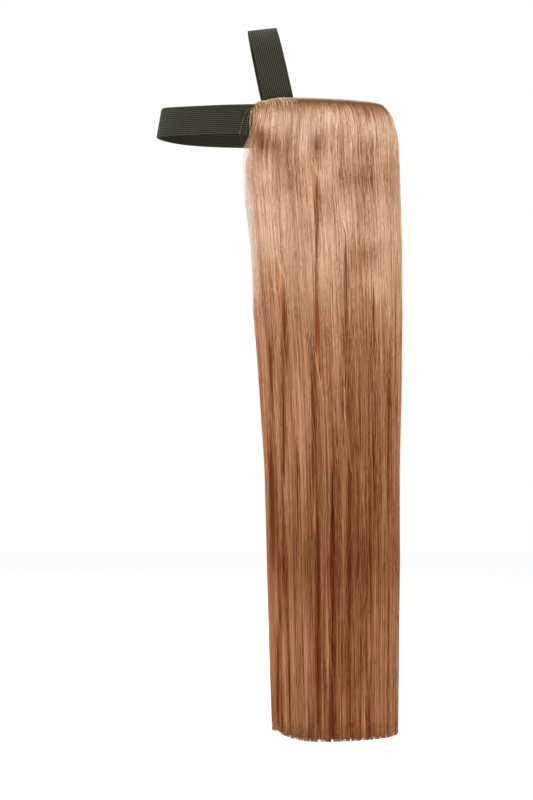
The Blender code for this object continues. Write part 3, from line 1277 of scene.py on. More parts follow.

# Near the weft these are painted highlight and painted shade where the hair's waves catch or lose the light; the
# first, at the front end, is a painted shadow under the band. Lower down, long patches make the hair lighter and
# darker.
PATCHES = (
    Patch(behind=-5, below=27, across=8, down=8, light=-0.50),
    Patch(behind=3, below=36, across=8, down=7, light=-0.48),
    Patch(behind=14, below=44, across=6, down=7, light=-0.35),
    Patch(behind=21, below=35, across=4, down=6, light=-0.22),
    Patch(behind=24, below=57, across=6, down=7, light=-0.38),
    Patch(behind=31, below=70, across=6, down=5, light=-0.12),
    Patch(behind=46, below=40, across=6, down=10, light=-0.38),
    Patch(behind=62, below=27, across=9, down=6, light=-0.18),
    Patch(behind=88, below=8, across=9, down=6, light=-0.30),
    Patch(behind=88, below=40, across=7, down=11, light=-0.30),
    Patch(behind=86, below=64, across=12, down=10, light=-0.42),
    Patch(behind=67, below=66, across=8, down=7, light=-0.27),
    Patch(behind=107, below=60, across=5, down=20, light=-0.26),
    Patch(behind=53, below=87, across=9, down=7, light=-0.19),
    Patch(behind=82, below=95, across=6, down=16, light=-0.26),
    Patch(behind=87, below=131, across=11, down=9, light=-0.44),
    Patch(behind=8, below=160, across=7, down=11, light=-0.32),
    Patch(behind=6, below=17, across=13, down=5, light=0.19),
    Patch(behind=48, below=15, across=9, down=8, light=0.19),
    Patch(behind=61, below=14, across=8, down=6, light=0.14),
    Patch(behind=35, below=37, across=4, down=9, light=0.28),
    Patch(behind=36, below=55, across=5, down=7, light=0.18),
    Patch(behind=51, below=61, across=5, down=14, light=0.26),
    Patch(behind=3, below=64, across=8, down=12, light=0.30),
    Patch(behind=7, below=108, across=10, down=22, light=0.22),
    Patch(behind=46, below=138, across=13, down=13, light=0.24),
    Patch(behind=56, below=108, across=8, down=9, light=0.18),
    Patch(behind=72, below=95, across=7, down=14, light=0.16),
    Patch(behind=95, below=150, across=9, down=16, light=0.24),
    Patch(behind=41, below=200, across=3, down=24, light=-0.30),
    Patch(behind=36, below=230, across=3, down=55, light=0.36),
    Patch(behind=40, below=350, across=5, down=30, light=0.22),
    Patch(behind=1, below=300, across=4, down=70, light=0.45),
    Patch(behind=12, below=250, across=4, down=34, light=0.28),
    Patch(behind=28, below=240, across=12, down=22, light=0.12),
    Patch(behind=27, below=308, across=9, down=60, light=0.38),
    Patch(behind=76, below=220, across=5, down=40, light=-0.18),
    Patch(behind=91, below=230, across=4, down=60, light=-0.16),
    Patch(behind=106, below=255, across=5, down=60, light=-0.28),
    Patch(behind=88, below=240, across=20, down=70, light=-0.20),
    Patch(behind=61, below=400, across=4, down=85, light=-0.28),
    Patch(behind=88, below=346, across=4, down=46, light=-0.30),
    Patch(behind=80, below=415, across=18, down=80, light=-0.18),
    Patch(behind=22, below=412, across=5, down=28, light=-0.50),
    Patch(behind=86, below=418, across=4, down=20, light=0.28),
    Patch(behind=102, below=405, across=6, down=26, light=0.26),
    Patch(behind=6, below=450, across=5, down=52, light=0.46),
    Patch(behind=26, below=462, across=8, down=56, light=0.30),
    Patch(behind=60, below=505, across=4, down=26, light=-0.22),
    Patch(behind=100, below=480, across=9, down=34, light=0.12),
)


@dataclass
class HairTone:
    """How light the hair is at each place, with painted highlight and shade from its patches, and how far its colour
    has turned.

    Attributes:
        lattice: rows of places that tell the weft's height and the curtain's length round.
        far_shift: how far the marks on the wearer's right lie from those on their left, along
            Y and down, in millimetres.
    """

    lattice: Lattice
    far_shift: tuple[float, float] = (-7.0, 16.0)

    def streaks(self, shares: np.ndarray, drops: np.ndarray) -> np.ndarray:
        """Long streaks from under a millimetre to a lock wide, about zero."""
        run = shares * self.lattice.arc()
        fine = Ripple(SEED + 31, 1.0 * MM, 0.55, 9).at(run, drops)
        medium = Ripple(SEED + 32, 3.4 * MM, 0.45, 9).at(run, drops)
        broad = Ripple(SEED + 33, 13.0 * MM, 0.40, 9).at(run, drops)
        high = between(drops, 0.03, 0.10)
        low = between(drops, 0.24, 0.42)
        return (
            (0.02 + 0.03 * high + 0.06 * low) * fine
            + (0.02 + 0.02 * high + 0.08 * low) * medium
            + (0.02 + 0.01 * high + 0.12 * low) * broad
        )

    def patches(self, spots: np.ndarray, jitter: np.ndarray) -> np.ndarray:
        """The sum of all patches at each spot: painted highlight and shade near the weft, and long lighter and darker
        patches below.

        Args:
            spots: places, any shape by 3.
            jitter: how far each spot reads the patches from its own height, in metres.

        Returns:
            The change in lightness.
        """
        top = self.lattice.outer[0, :, 2].max()
        right = spots[..., 0] < 0.0
        behind = spots[..., 1] / MM - right * self.far_shift[0]
        below = (top - spots[..., 2] + jitter) / MM - right * self.far_shift[1]
        total = np.zeros(behind.shape)
        for patch in PATCHES:
            gap = ((behind - patch.behind) / patch.across) ** 2 + ((below - patch.below) / patch.down) ** 2
            total += patch.light * np.exp(-gap)
        return total

    def turned(self, shares: np.ndarray, drops: np.ndarray) -> np.ndarray:
        """The share down that each place takes its colour from."""
        run = shares * self.lattice.arc()
        uneven = Ripple(SEED + 41, 5.0 * MM, 2.0, 7).at(run, drops)
        wide = Ripple(SEED + 42, 24.0 * MM, 2.0, 5).at(run, drops)
        shift = (0.014 * uneven + 0.012 * wide) * between(drops, 0.03, 0.12)
        return np.clip(drops + shift, 0.0, 1.0)


LOOP_SHAPE = (
    (-0.95, -2.6, 0.0, 0.0),
    (-1.10, -0.8, 0.1, 1.0),
    (-0.50, 0.0, 0.3, 1.0),
    (0.50, 0.0, 0.45, 1.0),
    (1.30, -0.9, 0.6, 1.0),
)


BAND_HAIRS = (
    ((-8.0, 4.5), (-13.0, 10.0), (-16.5, 19.0), (-18.5, 29.0)),
    ((-7.5, 5.5), (-11.0, 12.0), (-12.5, 20.0), (-13.5, 28.0)),
)


@dataclass
class Gathering:
    """Neighbouring groups that strands gather into.

    Attributes:
        edges: the shares across where one group ends and the next begins.
        centres: each group's middle.
    """

    edges: np.ndarray
    centres: np.ndarray

    @classmethod
    def drawn(cls, draw: np.random.Generator, low: float, high: float, count: int, spread: float) -> Gathering:
        """Groups of uneven width between two shares.

        Args:
            draw: the random draws.
            low: the share where the first group starts.
            high: the share where the last group ends.
            count: how many groups.
            spread: how uneven their edges are, as a share of a group.

        Returns:
            The groups.
        """
        inner = np.arange(1, count) + draw.uniform(-spread, spread, count - 1)
        edges = low + (high - low) * np.concatenate([[0.0], inner, [count]]) / count
        return cls(edges, (edges[:-1] + edges[1:]) / 2)

    def index(self, shares: np.ndarray) -> np.ndarray:
        """The group that each share lies in."""
        return np.clip(np.searchsorted(self.edges, shares, side="right") - 1, 0, len(self.centres) - 1)


@dataclass
class HairCurtain:
    """The curtain of hair: packed locks under many loose strands.

    Attributes:
        survey: reads the CAD curtain.
        lattice: where its faces lie.
        tone: how light the hair is.
        outer_count: loose strands on the outer face of a section.
        inner_count: loose strands on its inner face.
        radius: half a strand's thickness.
        bundles: how many fine bundles a section's strands gather into.
        loop_wisps: how many wisps loop over the hem at each front end.
        loop_hairs: how many hairs a wisp has.
        loop_reach: how far from the front end they are seen.
        stray_count: how many fine hairs lie across the others.
        end_hair_count: how many hairs bow round each front end of the weft.
        pinch: how far the front edges are drawn in under the weft.
        flare: how far the fringe stands forward of the front edges.
        tufts: how many tufts those bundles gather into.
        inset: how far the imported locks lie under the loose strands.
        body_end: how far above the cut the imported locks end.
        edge_clear: how far from the front edges they end.
        fringe: how far in from the front edges the loose strands are thin.
        opening: how far strands draw back from the middle of a parting, in parts of its width.
        hang_drops: between these shares down, strands hang straight.
        spans: the length of the outer line, row by row.
    """

    survey: CurtainSurvey
    lattice: Lattice
    tone: HairTone
    outer_count: int = 420
    inner_count: int = 80
    radius: float = 0.13 * MM
    bundles: int = 64
    loop_wisps: int = 25
    loop_hairs: int = 4
    loop_reach: float = 34.0 * MM
    stray_count: int = 420
    end_hair_count: int = 6
    pinch: float = 4.4 * MM
    flare: float = 2.6 * MM
    tufts: int = 7
    inset: float = 1.0 * MM
    body_end: float = 0.998
    edge_clear: float = 7.0 * MM
    fringe: float = 10.0 * MM
    opening: float = 0.62
    hang_drops: tuple[float, float] = (0.10, 0.30)
    spans: np.ndarray = field(default_factory=lambda: np.empty(0))

    def __post_init__(self) -> None:
        """Measures the outer line of each row."""
        self.spans = np.linalg.norm(np.diff(self.lattice.outer, axis=1), axis=2).sum(axis=1)

    def strand_drops(self) -> np.ndarray:
        """The rows that a strand passes through, closest where it bends most."""
        top = [0.0004, 0.007, 0.016, 0.027, 0.040, 0.056, 0.074, 0.095, 0.12, 0.15, 0.18, 0.21, 0.24, 0.28]
        return np.array([*top, 0.33, 0.39, 0.47, 0.58, 0.72, 0.86, 0.965, 1.0])

    def opened(self, lattice: Lattice, shares: np.ndarray) -> tuple[np.ndarray, np.ndarray]:
        """Opens the partings between locks on both sides.

        Args:
            lattice: the rows that the shares belong to.
            shares: strands by rows, the share across.

        Returns:
            The shares drawn away from each parting, and how close to one each lies, from 0 to 1.
        """
        moved = shares.copy()
        close = np.zeros_like(shares)
        span = self.lattice.arc()
        length = self.lattice.outer[0, :, 2].max() - self.lattice.outer[-1, :, 2].min()
        for side in Side:
            far = side is Side.RIGHT
            for parting in PARTINGS:
                behind = (parting.behind + far * self.tone.far_shift[0]) * MM
                start = (parting.start + far * self.tone.far_shift[1]) * MM / length
                stop = (parting.stop + far * self.tone.far_shift[1]) * MM / length
                sway = 0.7 * MM * np.sin(9.0 * lattice.drops + parting.behind)
                middle = lattice.share_behind(behind + sway, side)
                shown = between(lattice.drops, start, start + 0.06)
                if stop < 0.97:
                    shown = shown * (1.0 - between(lattice.drops, stop - 0.06, stop))
                shown = shown * (1.0 - 0.8 * between(lattice.drops, 0.95, 1.0))
                width = parting.width * MM / span
                gap = moved - middle
                sign = np.where((gap * shown).sum(axis=1, keepdims=True) < 0.0, -1.0, 1.0)
                held = np.where(shown > 0.0, np.maximum(gap * sign, 0.0), gap * sign)
                near = np.exp(-(held / (1.6 * width)) ** 2) * shown
                apart = self.opening * width * np.sqrt(near)
                drawn = np.where(held < 0.0, held, np.sqrt(held ** 2 + apart ** 2))
                moved = np.where(np.abs(gap) < 8.0 * width, middle + sign * drawn, moved)
                close = np.maximum(close, np.exp(-(gap / (1.6 * width)) ** 2) * shown)
        return moved, close

    def body(self, index: int, material: bpy.types.Material) -> bpy.types.Object:
        """Models a section's packed locks, drawn in under the loose strands and painted darker than them as shade.

        Args:
            index: the section, counted from the wearer's right.
            material: what it wears.

        Returns:
            The dressed piece.
        """
        rows = self.lattice.at(np.concatenate([[0.0004, 0.01, 0.02], np.linspace(0.035, self.body_end, 46)]))
        low, high = index / self.survey.sections, (index + 1) / self.survey.sections
        clear = self.edge_clear / self.lattice.arc() * (0.5 + 0.5 * between(rows.drops, 0.02, 0.08))
        clear = clear * (1.0 - 0.7 * between(rows.drops, 0.28, 0.38))
        start = np.maximum(low + 0.0001, clear)[None, :]
        stop = np.minimum(high - 0.0001, 1.0 - clear)[None, :]
        across = np.linspace(0.0, 1.0, 31)[:, None]
        inner_across = np.linspace(1.0, 0.0, 14)[:, None]
        outer_shares = start + (stop - start) * across
        inner_shares = start + (stop - start) * inner_across
        outer_shares = self.hung(outer_shares, rows)
        _, close = self.opened(rows, outer_shares)
        depth = self.inset * (0.35 + 0.65 * between(rows.drops, 0.0, 0.04)) + close * 1.1 * MM
        outer, away, wall = rows.spread(outer_shares, depth)
        # Painted shade: the packed locks take a darker tone than the loose strands over them.
        outer_tone = 0.30 + self.tone.streaks(outer_shares, rows.drops[None, :])
        # Painted shade: the packed locks are darker in the partings, by close.
        # The patches add painted highlight and shade.
        outer_tone += self.tone.patches(outer, np.zeros(outer.shape[:2])) - 0.55 * close
        _, _, inner_wall = rows.spread(inner_shares, np.zeros(inner_shares.shape))
        inner, _, _ = rows.spread(inner_shares, inner_wall * 0.9)
        # Painted shade: their inner face is darker than the loose strands as well.
        inner_tone = 0.36 + self.tone.streaks(inner_shares + 0.37, rows.drops[None, :])
        surface = np.concatenate([outer, inner]).transpose(1, 0, 2)
        shares = np.concatenate([outer_shares, inner_shares])
        marks = {
            "tone": np.concatenate([outer_tone, inner_tone]).T,
            "turned": self.tone.turned(shares, rows.drops[None, :]).T,
        }
        piece = folded_grid(f"hair_body_{index + 1:02d}", surface, closed=False, marks=marks)
        return dress(piece, material, Slot.HAIR, self.survey.node(index))

    def strands(self, index: int, material: bpy.types.Material) -> bpy.types.Object:
        """Models one section's loose strands, on both faces and down to the cut."""
        draw = np.random.default_rng(SEED + index)
        layers = [
            self.layer(index, draw, Face.OUTER, self.outer_count),
            self.layer(index, draw, Face.INNER, self.inner_count),
        ]
        paths, facing, radii, shades, turned = (np.concatenate(items) for items in zip(*layers))
        piece = tube_mesh(f"hair_strands_{index + 1:02d}", paths, facing, radii, 3, (shades, turned))
        return dress(piece, material, Slot.HAIR, self.survey.node(index))

    def layer(self, index: int, draw: np.random.Generator, face: Face, count: int) -> tuple[np.ndarray, ...]:
        """Lays out loose strands on one face of a section.

        Args:
            index: the section, counted from the wearer's right.
            draw: the section's random draws.
            face: the face that they lie on.
            count: how many strands.

        Returns:
            Paths, facing directions, radii, shades and turned shares, as tube_mesh takes them.
        """
        rows = self.lattice.at(self.strand_drops())
        drops = rows.drops[None, :]
        span = self.lattice.arc()
        low, high = index / self.survey.sections, (index + 1) / self.survey.sections
        roots = low + (high - low) * (np.arange(count) + draw.uniform(0.0, 1.0, count)) / count
        edge = np.clip(1.0 - np.minimum(roots, 1.0 - roots) * span / self.fringe, 0.0, 1.0)
        kept = draw.uniform(0.0, 1.0, count) < 1.0 - 0.25 * edge
        roots, edge = roots[kept], edge[kept, None]
        count = len(roots)
        low_down = between(drops, 0.24, 0.42)
        loose_ends = 1.0 - 0.85 * between(drops, 0.93, 1.0)
        tufts = Gathering.drawn(draw, low, high, self.tufts, spread=0.45)
        bundles = Gathering.drawn(draw, low, high, self.bundles, spread=0.35)
        tuft, bundle = tufts.index(roots), bundles.index(roots)
        middle = bundles.centres[bundle][:, None]
        close_in = draw.uniform(0.1, 0.8, self.bundles)[bundle][:, None] * (0.35 + 0.65 * low_down) * (1.0 - edge)
        shares = middle + (roots[:, None] - middle) * (1.0 - close_in * between(drops, 0.0, 0.03) * loose_ends)
        hold = draw.uniform(0.05, 0.35, self.tufts)[tuft][:, None] * between(drops, 0.18, 0.55) * (1.0 - edge)
        shares = shares + (tufts.centres[tuft][:, None] - middle) * hold * loose_ends
        shares = shares + self.wandering(draw, bundle, drops, 1.0 - edge) / span
        shares, close = self.opened(rows, self.hung(np.clip(shares, 0.0006, 0.9994), rows))
        shares = self.at_edges(shares, drops)
        rise = np.abs(draw.normal(0.0, 0.22 * MM, count)) + np.abs(draw.normal(0.0, 0.20 * MM, self.bundles))[bundle]
        depths = rise[:, None] + self.radius + close * 0.7 * MM
        if face is Face.INNER:
            _, _, wall = rows.spread(shares, np.zeros_like(depths))
            depths = np.maximum(wall - depths, wall * 0.6)
        paths, away, _ = rows.spread(shares, depths)
        flare = between(drops, 0.054, 0.080) * (1.0 - between(drops, 0.15, 0.24))
        paths[..., 1] -= self.flare * draw.uniform(0.0, 1.0, count)[:, None] * edge ** 2 * flare
        nape = np.exp(-((shares - 0.5) / 0.13) ** 2)
        fuller = between(drops, 0.02, 0.06) * (1.0 - between(drops, 0.12, 0.2)) + 1.4 * between(drops, 0.58, 0.70)
        paths[..., 1] += 0.75 * MM * nape * fuller
        paths[:, -1, 2] += np.abs(draw.normal(0.0, 0.8 * MM, count)) - 1.5 * MM
        taper = 1.0 - 0.35 * between(drops, 0.94, 1.0)
        thin = 0.82 * np.minimum(1.25 * edge, 1.0) * (1.0 - 0.65 * low_down)
        radii = self.radius * draw.uniform(0.5, 1.6, count)[:, None] * taper * (1.0 - thin)
        jitter = draw.normal(0.0, 1.0 * MM, self.bundles)[bundle][:, None] + draw.normal(0.0, 2.0 * MM, count)[:, None]
        own = draw.normal(0.0, 0.05, self.bundles)[bundle][:, None] * (1.0 + low_down)
        own = own + draw.normal(0.0, 0.17, count)[:, None] * (1.0 + 0.4 * low_down)
        own = own + draw.normal(0.0, 0.06, (count, drops.shape[1]))
        # Painted shade: strands near a parting are darkened by close.
        shades = 0.48 - 0.10 * low_down + self.tone.streaks(shares, drops) + own - 0.44 * close
        shades = shades + self.waves(draw, bundle, drops, 2.0, 6.0, 0.03)
        shades = shades + 0.30 * edge * between(drops, 0.03, 0.07)
        if face is Face.OUTER:
            # Painted highlight and shade from the patches.
            shades = shades + self.tone.patches(paths, jitter)
        else:
            shades = shades - 0.08
        turned = self.tone.turned(shares, drops) + jitter * 4.0 * between(drops, 0.0, 0.03)
        turned = np.clip(turned, 0.0, 1.0)
        return paths, away, radii, np.clip(shades, 0.02, 0.98), turned

    def wandering(
        self, draw: np.random.Generator, bundle: np.ndarray, drops: np.ndarray, together: np.ndarray
    ) -> np.ndarray:
        """How far strands stray to the side: they cross near the roots, and lie nearly straight below.

        Args:
            draw: the section's random draws.
            bundle: each strand's bundle.
            drops: one row of shares down.
            together: how far each strand follows its bundle, from 0 to 1.

        Returns:
            Strands by rows, in metres.
        """
        count = len(bundle)
        settled = draw.uniform(0.02, 0.10, self.bundles)[bundle][:, None]
        fan = draw.normal(0.0, 1.0 * MM, self.bundles)[bundle][:, None] * (1.0 - between(drops, 0.0, settled))
        apart = draw.uniform(0.03, 0.16, count)[:, None]
        cross = draw.normal(0.0, 1.5 * MM, count)[:, None] * (1.0 - between(drops, 0.0, apart))
        sway = self.waves(draw, bundle, drops, 2.0, 5.0, 0.16 * MM) + self.waves(draw, bundle, drops, 1.0, 3.0, 0.4 * MM)
        step = np.minimum(np.gradient(drops[0]) * 16.0 * MM, 0.55 * MM)
        own = draw.normal(0.0, 1.0, (count, drops.shape[1])) * step * (0.4 + 0.6 * together)
        return (fan + cross) * together + (sway * together + own) * between(drops, 0.0, 0.02)

    def at_edges(self, shares: np.ndarray, drops: np.ndarray) -> np.ndarray:
        """Fits the strands next to the front edges: in near the weft, close together below."""
        span = self.lattice.arc()
        shares = self.pinched(shares, drops)
        reach = np.minimum(shares, 1.0 - shares) * span
        part = np.clip(reach / self.fringe, 0.0, 1.0)
        low_down = between(drops, 0.28, 0.38)
        inset = 0.9 * MM * between(drops, 0.16, 0.20) * (1.0 - between(drops, 0.62, 0.70))
        moved = reach * (1.0 - 0.55 * (1.0 - part) * low_down) + inset * (1.0 - part)
        return np.where(shares < 0.5, moved, span - moved) / span

    def hung(self, shares: np.ndarray, rows: Lattice) -> np.ndarray:
        """Lets strands hang straight where the curtain narrows, so that only its front edges move.

        Args:
            shares: strands by rows, the share across.
            rows: the rows that they belong to.

        Returns:
            The shares that keep each strand's distance from the middle of the back.
        """
        spans = np.interp(rows.drops, self.lattice.drops, self.spans)
        first, last = (np.interp(drop, self.lattice.drops, self.spans) for drop in self.hang_drops)
        ratio = np.where(rows.drops < self.hang_drops[0], 1.0, first / spans)
        ratio = np.where(rows.drops > self.hang_drops[1], first / last, ratio)[None, :]
        away = 2.0 * np.abs(shares - 0.5)
        limit = 1.0 - 2.0 * self.fringe / spans[None, :]
        start = limit / ratio
        squeezed = limit + (away - start) / (1.0 - start) * (1.0 - limit)
        moved = np.where(away < start, away * ratio, squeezed)
        return 0.5 + 0.5 * np.sign(shares - 0.5) * moved

    def pinched(self, shares: np.ndarray, drops: np.ndarray) -> np.ndarray:
        """Draws the strands next to the front edges in, near the weft."""
        span = self.lattice.arc()
        drawn = self.pinch / span * (0.5 + 0.5 * between(drops, 0.0, 0.015)) * (1.0 - between(drops, 0.045, 0.070))
        front = np.exp(-shares * span / self.fringe * 1.6)
        other = np.exp(-(1.0 - shares) * span / self.fringe * 1.6)
        return shares + drawn * (front - other)

    def loops(self, side: Side, track: WeftTrack, material: bpy.types.Material) -> bpy.types.Object:
        """Models the wisps that loop over the hem near one front end of the weft.

        Args:
            side: the side that they are on.
            track: the weft that they are sewn to.
            material: what they wear.

        Returns:
            The dressed piece.
        """
        draw = np.random.default_rng(SEED + 60 + (side is Side.LEFT))
        wisps = np.arange(self.loop_wisps)
        wisp = np.repeat(wisps, self.loop_hairs)
        count = len(wisp)
        top = (track.inner[:, -1] + track.outer[:, -1]) / 2
        away = unit(track.outer[:, 0] - track.inner[:, 0])
        run = np.concatenate([[0.0], np.cumsum(np.linalg.norm(np.diff(top, axis=0), axis=1))])
        pitch = self.loop_reach / self.loop_wisps
        centres = 1.2 * MM + pitch * (wisps + draw.uniform(0.0, 0.7, len(wisps)))
        spots = centres[wisp] + draw.normal(0.0, 0.15 * MM, count)
        slant = draw.normal(0.0, 0.22 * MM, len(wisps))[wisp] + draw.normal(0.0, 0.08 * MM, count)
        fade = 1.0 - between(spots, self.loop_reach * 0.6, self.loop_reach)
        height = draw.uniform(-0.1, 0.3, len(wisps))[wisp] * MM * fade * between(spots, 0.002, 0.008)
        if side is Side.LEFT:
            spots = run[-1] - spots
        paths = []
        for out, rise, share, lift in LOOP_SHAPE:
            place = spots + slant * (2.0 * share - 1.0)
            base = np.stack([np.interp(place, run, top[:, k]) for k in range(3)], axis=1)
            ray = unit(np.stack([np.interp(place, run, away[:, k]) for k in range(3)], axis=1))
            base = base + ray * (out * MM)
            base[:, 2] += rise * MM + height * lift
            paths.append(base)
        paths = np.array(paths).transpose(1, 0, 2)
        reach = draw.uniform(0.006, 0.018, count)[:, None] * np.array([0.25, 0.6, 1.0])
        down = []
        for i in range(count):
            rows = self.lattice.at(reach[i])
            share = (spots[i] + track.end_trim + slant[i] * np.array([1.2, 1.6, 1.9])) / (run[-1] + 2.0 * track.end_trim)
            share = self.pinched(np.clip(share, 0.0006, 0.9994)[None, :], reach[i][None, :])
            place, _, _ = rows.spread(share, np.array([[-0.15, -0.1, 0.35]]) * MM)
            down.append(place[0])
        paths = np.concatenate([paths, np.array(down)], axis=1)
        facing = np.broadcast_to(np.array([0.0, 0.3, 1.0]), paths.shape)
        radii = np.full(paths.shape[:2], 0.09 * MM) * draw.uniform(0.7, 1.3, count)[:, None]
        radii[:, -2:] *= np.array([0.7, 0.3])
        shades = draw.normal(0.58, 0.14, len(wisps))[wisp] + draw.normal(0.0, 0.10, count)
        shades = np.clip(shades[:, None] + np.zeros(paths.shape[:2]), 0.05, 0.95)
        turned = np.full(paths.shape[:2], 0.020)
        # Painted shade: the parts behind the hem take the dark colour near the root.
        turned[:, :2] = 0.008
        name = "root_loops_left" if side is Side.LEFT else "root_loops_right"
        return dress(tube_mesh(name, paths, facing, radii, 3, (shades, turned)), material, Slot.HAIR)

    def end_hairs(self, side: Side, material: bpy.types.Material) -> bpy.types.Object:
        """Models the pale hairs that bow forward round one front end of the weft.

        Args:
            side: the side that they are on.
            material: what they wear.

        Returns:
            The dressed piece.
        """
        draw = np.random.default_rng(SEED + 70 + (side is Side.LEFT))
        count = self.end_hair_count
        start = draw.uniform(0.001, 0.010, count)
        stop = draw.uniform(0.028, 0.060, count)
        bow = (1.0 - 0.7 * draw.uniform(0.0, 1.0, count) ** 2) * self.pinch * 0.8
        steps = np.linspace(0.0, 1.0, 13)
        paths, facing = [], []
        for i in range(count):
            drops = start[i] + (stop[i] - start[i]) * steps
            rows = self.lattice.at(drops)
            share = np.full((1, len(steps)), 0.0008 + 1.4 * MM / self.lattice.arc() * draw.uniform())
            share = self.pinched(share, drops[None, :])
            if side is Side.LEFT:
                share = 1.0 - share
            path, away, _ = rows.spread(share, np.full(share.shape, 0.5 * MM) * draw.uniform())
            path[0, :, 1] -= bow[i] * np.sin(np.pi * steps ** 0.7) ** 0.8
            paths.append(path[0])
            facing.append(away[0])
        for line in BAND_HAIRS:
            paths.append(self.on_band(side, line, len(steps)))
            facing.append(np.tile([1.0, 0.0, 0.0], (len(steps), 1)))
        paths = np.array(paths)
        count = len(paths)
        on_band = (np.arange(count) >= self.end_hair_count)[:, None]
        radii = np.full(paths.shape[:2], 0.07 * MM) * draw.uniform(0.7, 1.2, count)[:, None]
        radii = np.where(on_band, 0.05 * MM, radii)
        shades = np.clip(draw.normal(0.72, 0.12, count)[:, None] + np.zeros(paths.shape[:2]), 0.3, 0.97)
        shades = np.where(on_band, 0.52, shades)
        turned = np.full(paths.shape[:2], 0.036)
        name = "end_hairs_left" if side is Side.LEFT else "end_hairs_right"
        piece = tube_mesh(name, paths, np.array(facing), radii, 3, (shades, turned))
        return dress(piece, material, Slot.HAIR)

    def on_band(self, side: Side, line: tuple[tuple[float, float], ...], count: int) -> np.ndarray:
        """Lays a hair on the head band.

        Args:
            side: the side that it is on.
            line: how far behind the crown and below the weft it passes, in millimetres.
            count: how many points it has.

        Returns:
            The hair's points.
        """
        mesh = FRAME_NODES["head_band"].data
        faces = [list(face.vertices) for face in mesh.polygons]
        tree = BVHTree.FromPolygons([vertex.co.copy() for vertex in mesh.vertices], faces)
        sign = 1.0 if side is Side.LEFT else -1.0
        top = self.lattice.outer[0, :, 2].max()
        flat = smooth_line(np.array([(0.0, behind * MM, top - below * MM) for behind, below in line]), count, closed=False)
        for point in flat:
            hit = tree.ray_cast(Vector((0.2 * sign, point[1], point[2])), Vector((-sign, 0.0, 0.0)), 0.2)[0]
            point[0] = sign * 0.075 if hit is None else hit.x + sign * 0.5 * MM
        return flat

    def strays(self, material: bpy.types.Material) -> bpy.types.Object:
        """Models the fine hairs that lie across the others or stand off the curtain."""
        draw = np.random.default_rng(SEED + 90)
        count = self.stray_count
        start = draw.uniform(0.01, 0.80, count)
        length = draw.uniform(0.08, 0.34, count)
        share = draw.uniform(0.02, 0.98, count)
        cross = draw.normal(0.0, 7.0 * MM, count) / self.lattice.arc()
        lift = np.abs(draw.normal(0.0, 0.6 * MM, count)) + 0.1 * MM
        steps = np.linspace(0.0, 1.0, 12)
        paths = []
        facing = []
        for i in range(count):
            drops = start[i] + length[i] * steps
            rows = self.lattice.at(np.clip(drops, 0.0, 1.0))
            bend = draw.normal(0.0, 2.0 * MM) / self.lattice.arc() * np.sin(np.pi * steps)
            shares = np.clip(share[i] + cross[i] * (steps - 0.5) + bend, 0.001, 0.999)[None, :]
            path, away, _ = rows.spread(shares, -(lift[i] * np.sin(np.pi * steps) + 0.05 * MM)[None, :])
            paths.append(path[0])
            facing.append(away[0])
        paths = np.array(paths)
        radii = np.full(paths.shape[:2], 0.10 * MM) * (1.0 - 0.5 * np.abs(2.0 * steps - 1.0) ** 4)
        shades = np.broadcast_to(draw.uniform(0.55, 0.97, count)[:, None], paths.shape[:2])
        turned = np.clip(start[:, None] + length[:, None] * steps, 0.0, 1.0)
        piece = tube_mesh("stray_hairs", paths, np.array(facing), radii, 3, (shades, turned))
        return dress(piece, material, Slot.HAIR)

    def waves(
        self, draw: np.random.Generator, members: np.ndarray, drops: np.ndarray, slow: float, fast: float, size: float
    ) -> np.ndarray:
        """Two random waves down the length, shared by the strands of a group.

        Args:
            draw: the section's random draws.
            members: the group of each strand.
            drops: one row of shares down.
            slow: the fewest waves over the whole length.
            fast: the most.
            size: the waves' usual height.

        Returns:
            Strands by rows.
        """
        groups = members.max() + 1
        total = np.zeros((groups, drops.shape[1]))
        for _ in range(2):
            count = draw.uniform(slow, fast, groups)[:, None]
            start = draw.uniform(0.0, 2 * np.pi, groups)[:, None]
            total += draw.normal(0.0, size, groups)[:, None] * np.sin(2 * np.pi * count * drops + start)
        return total[members]


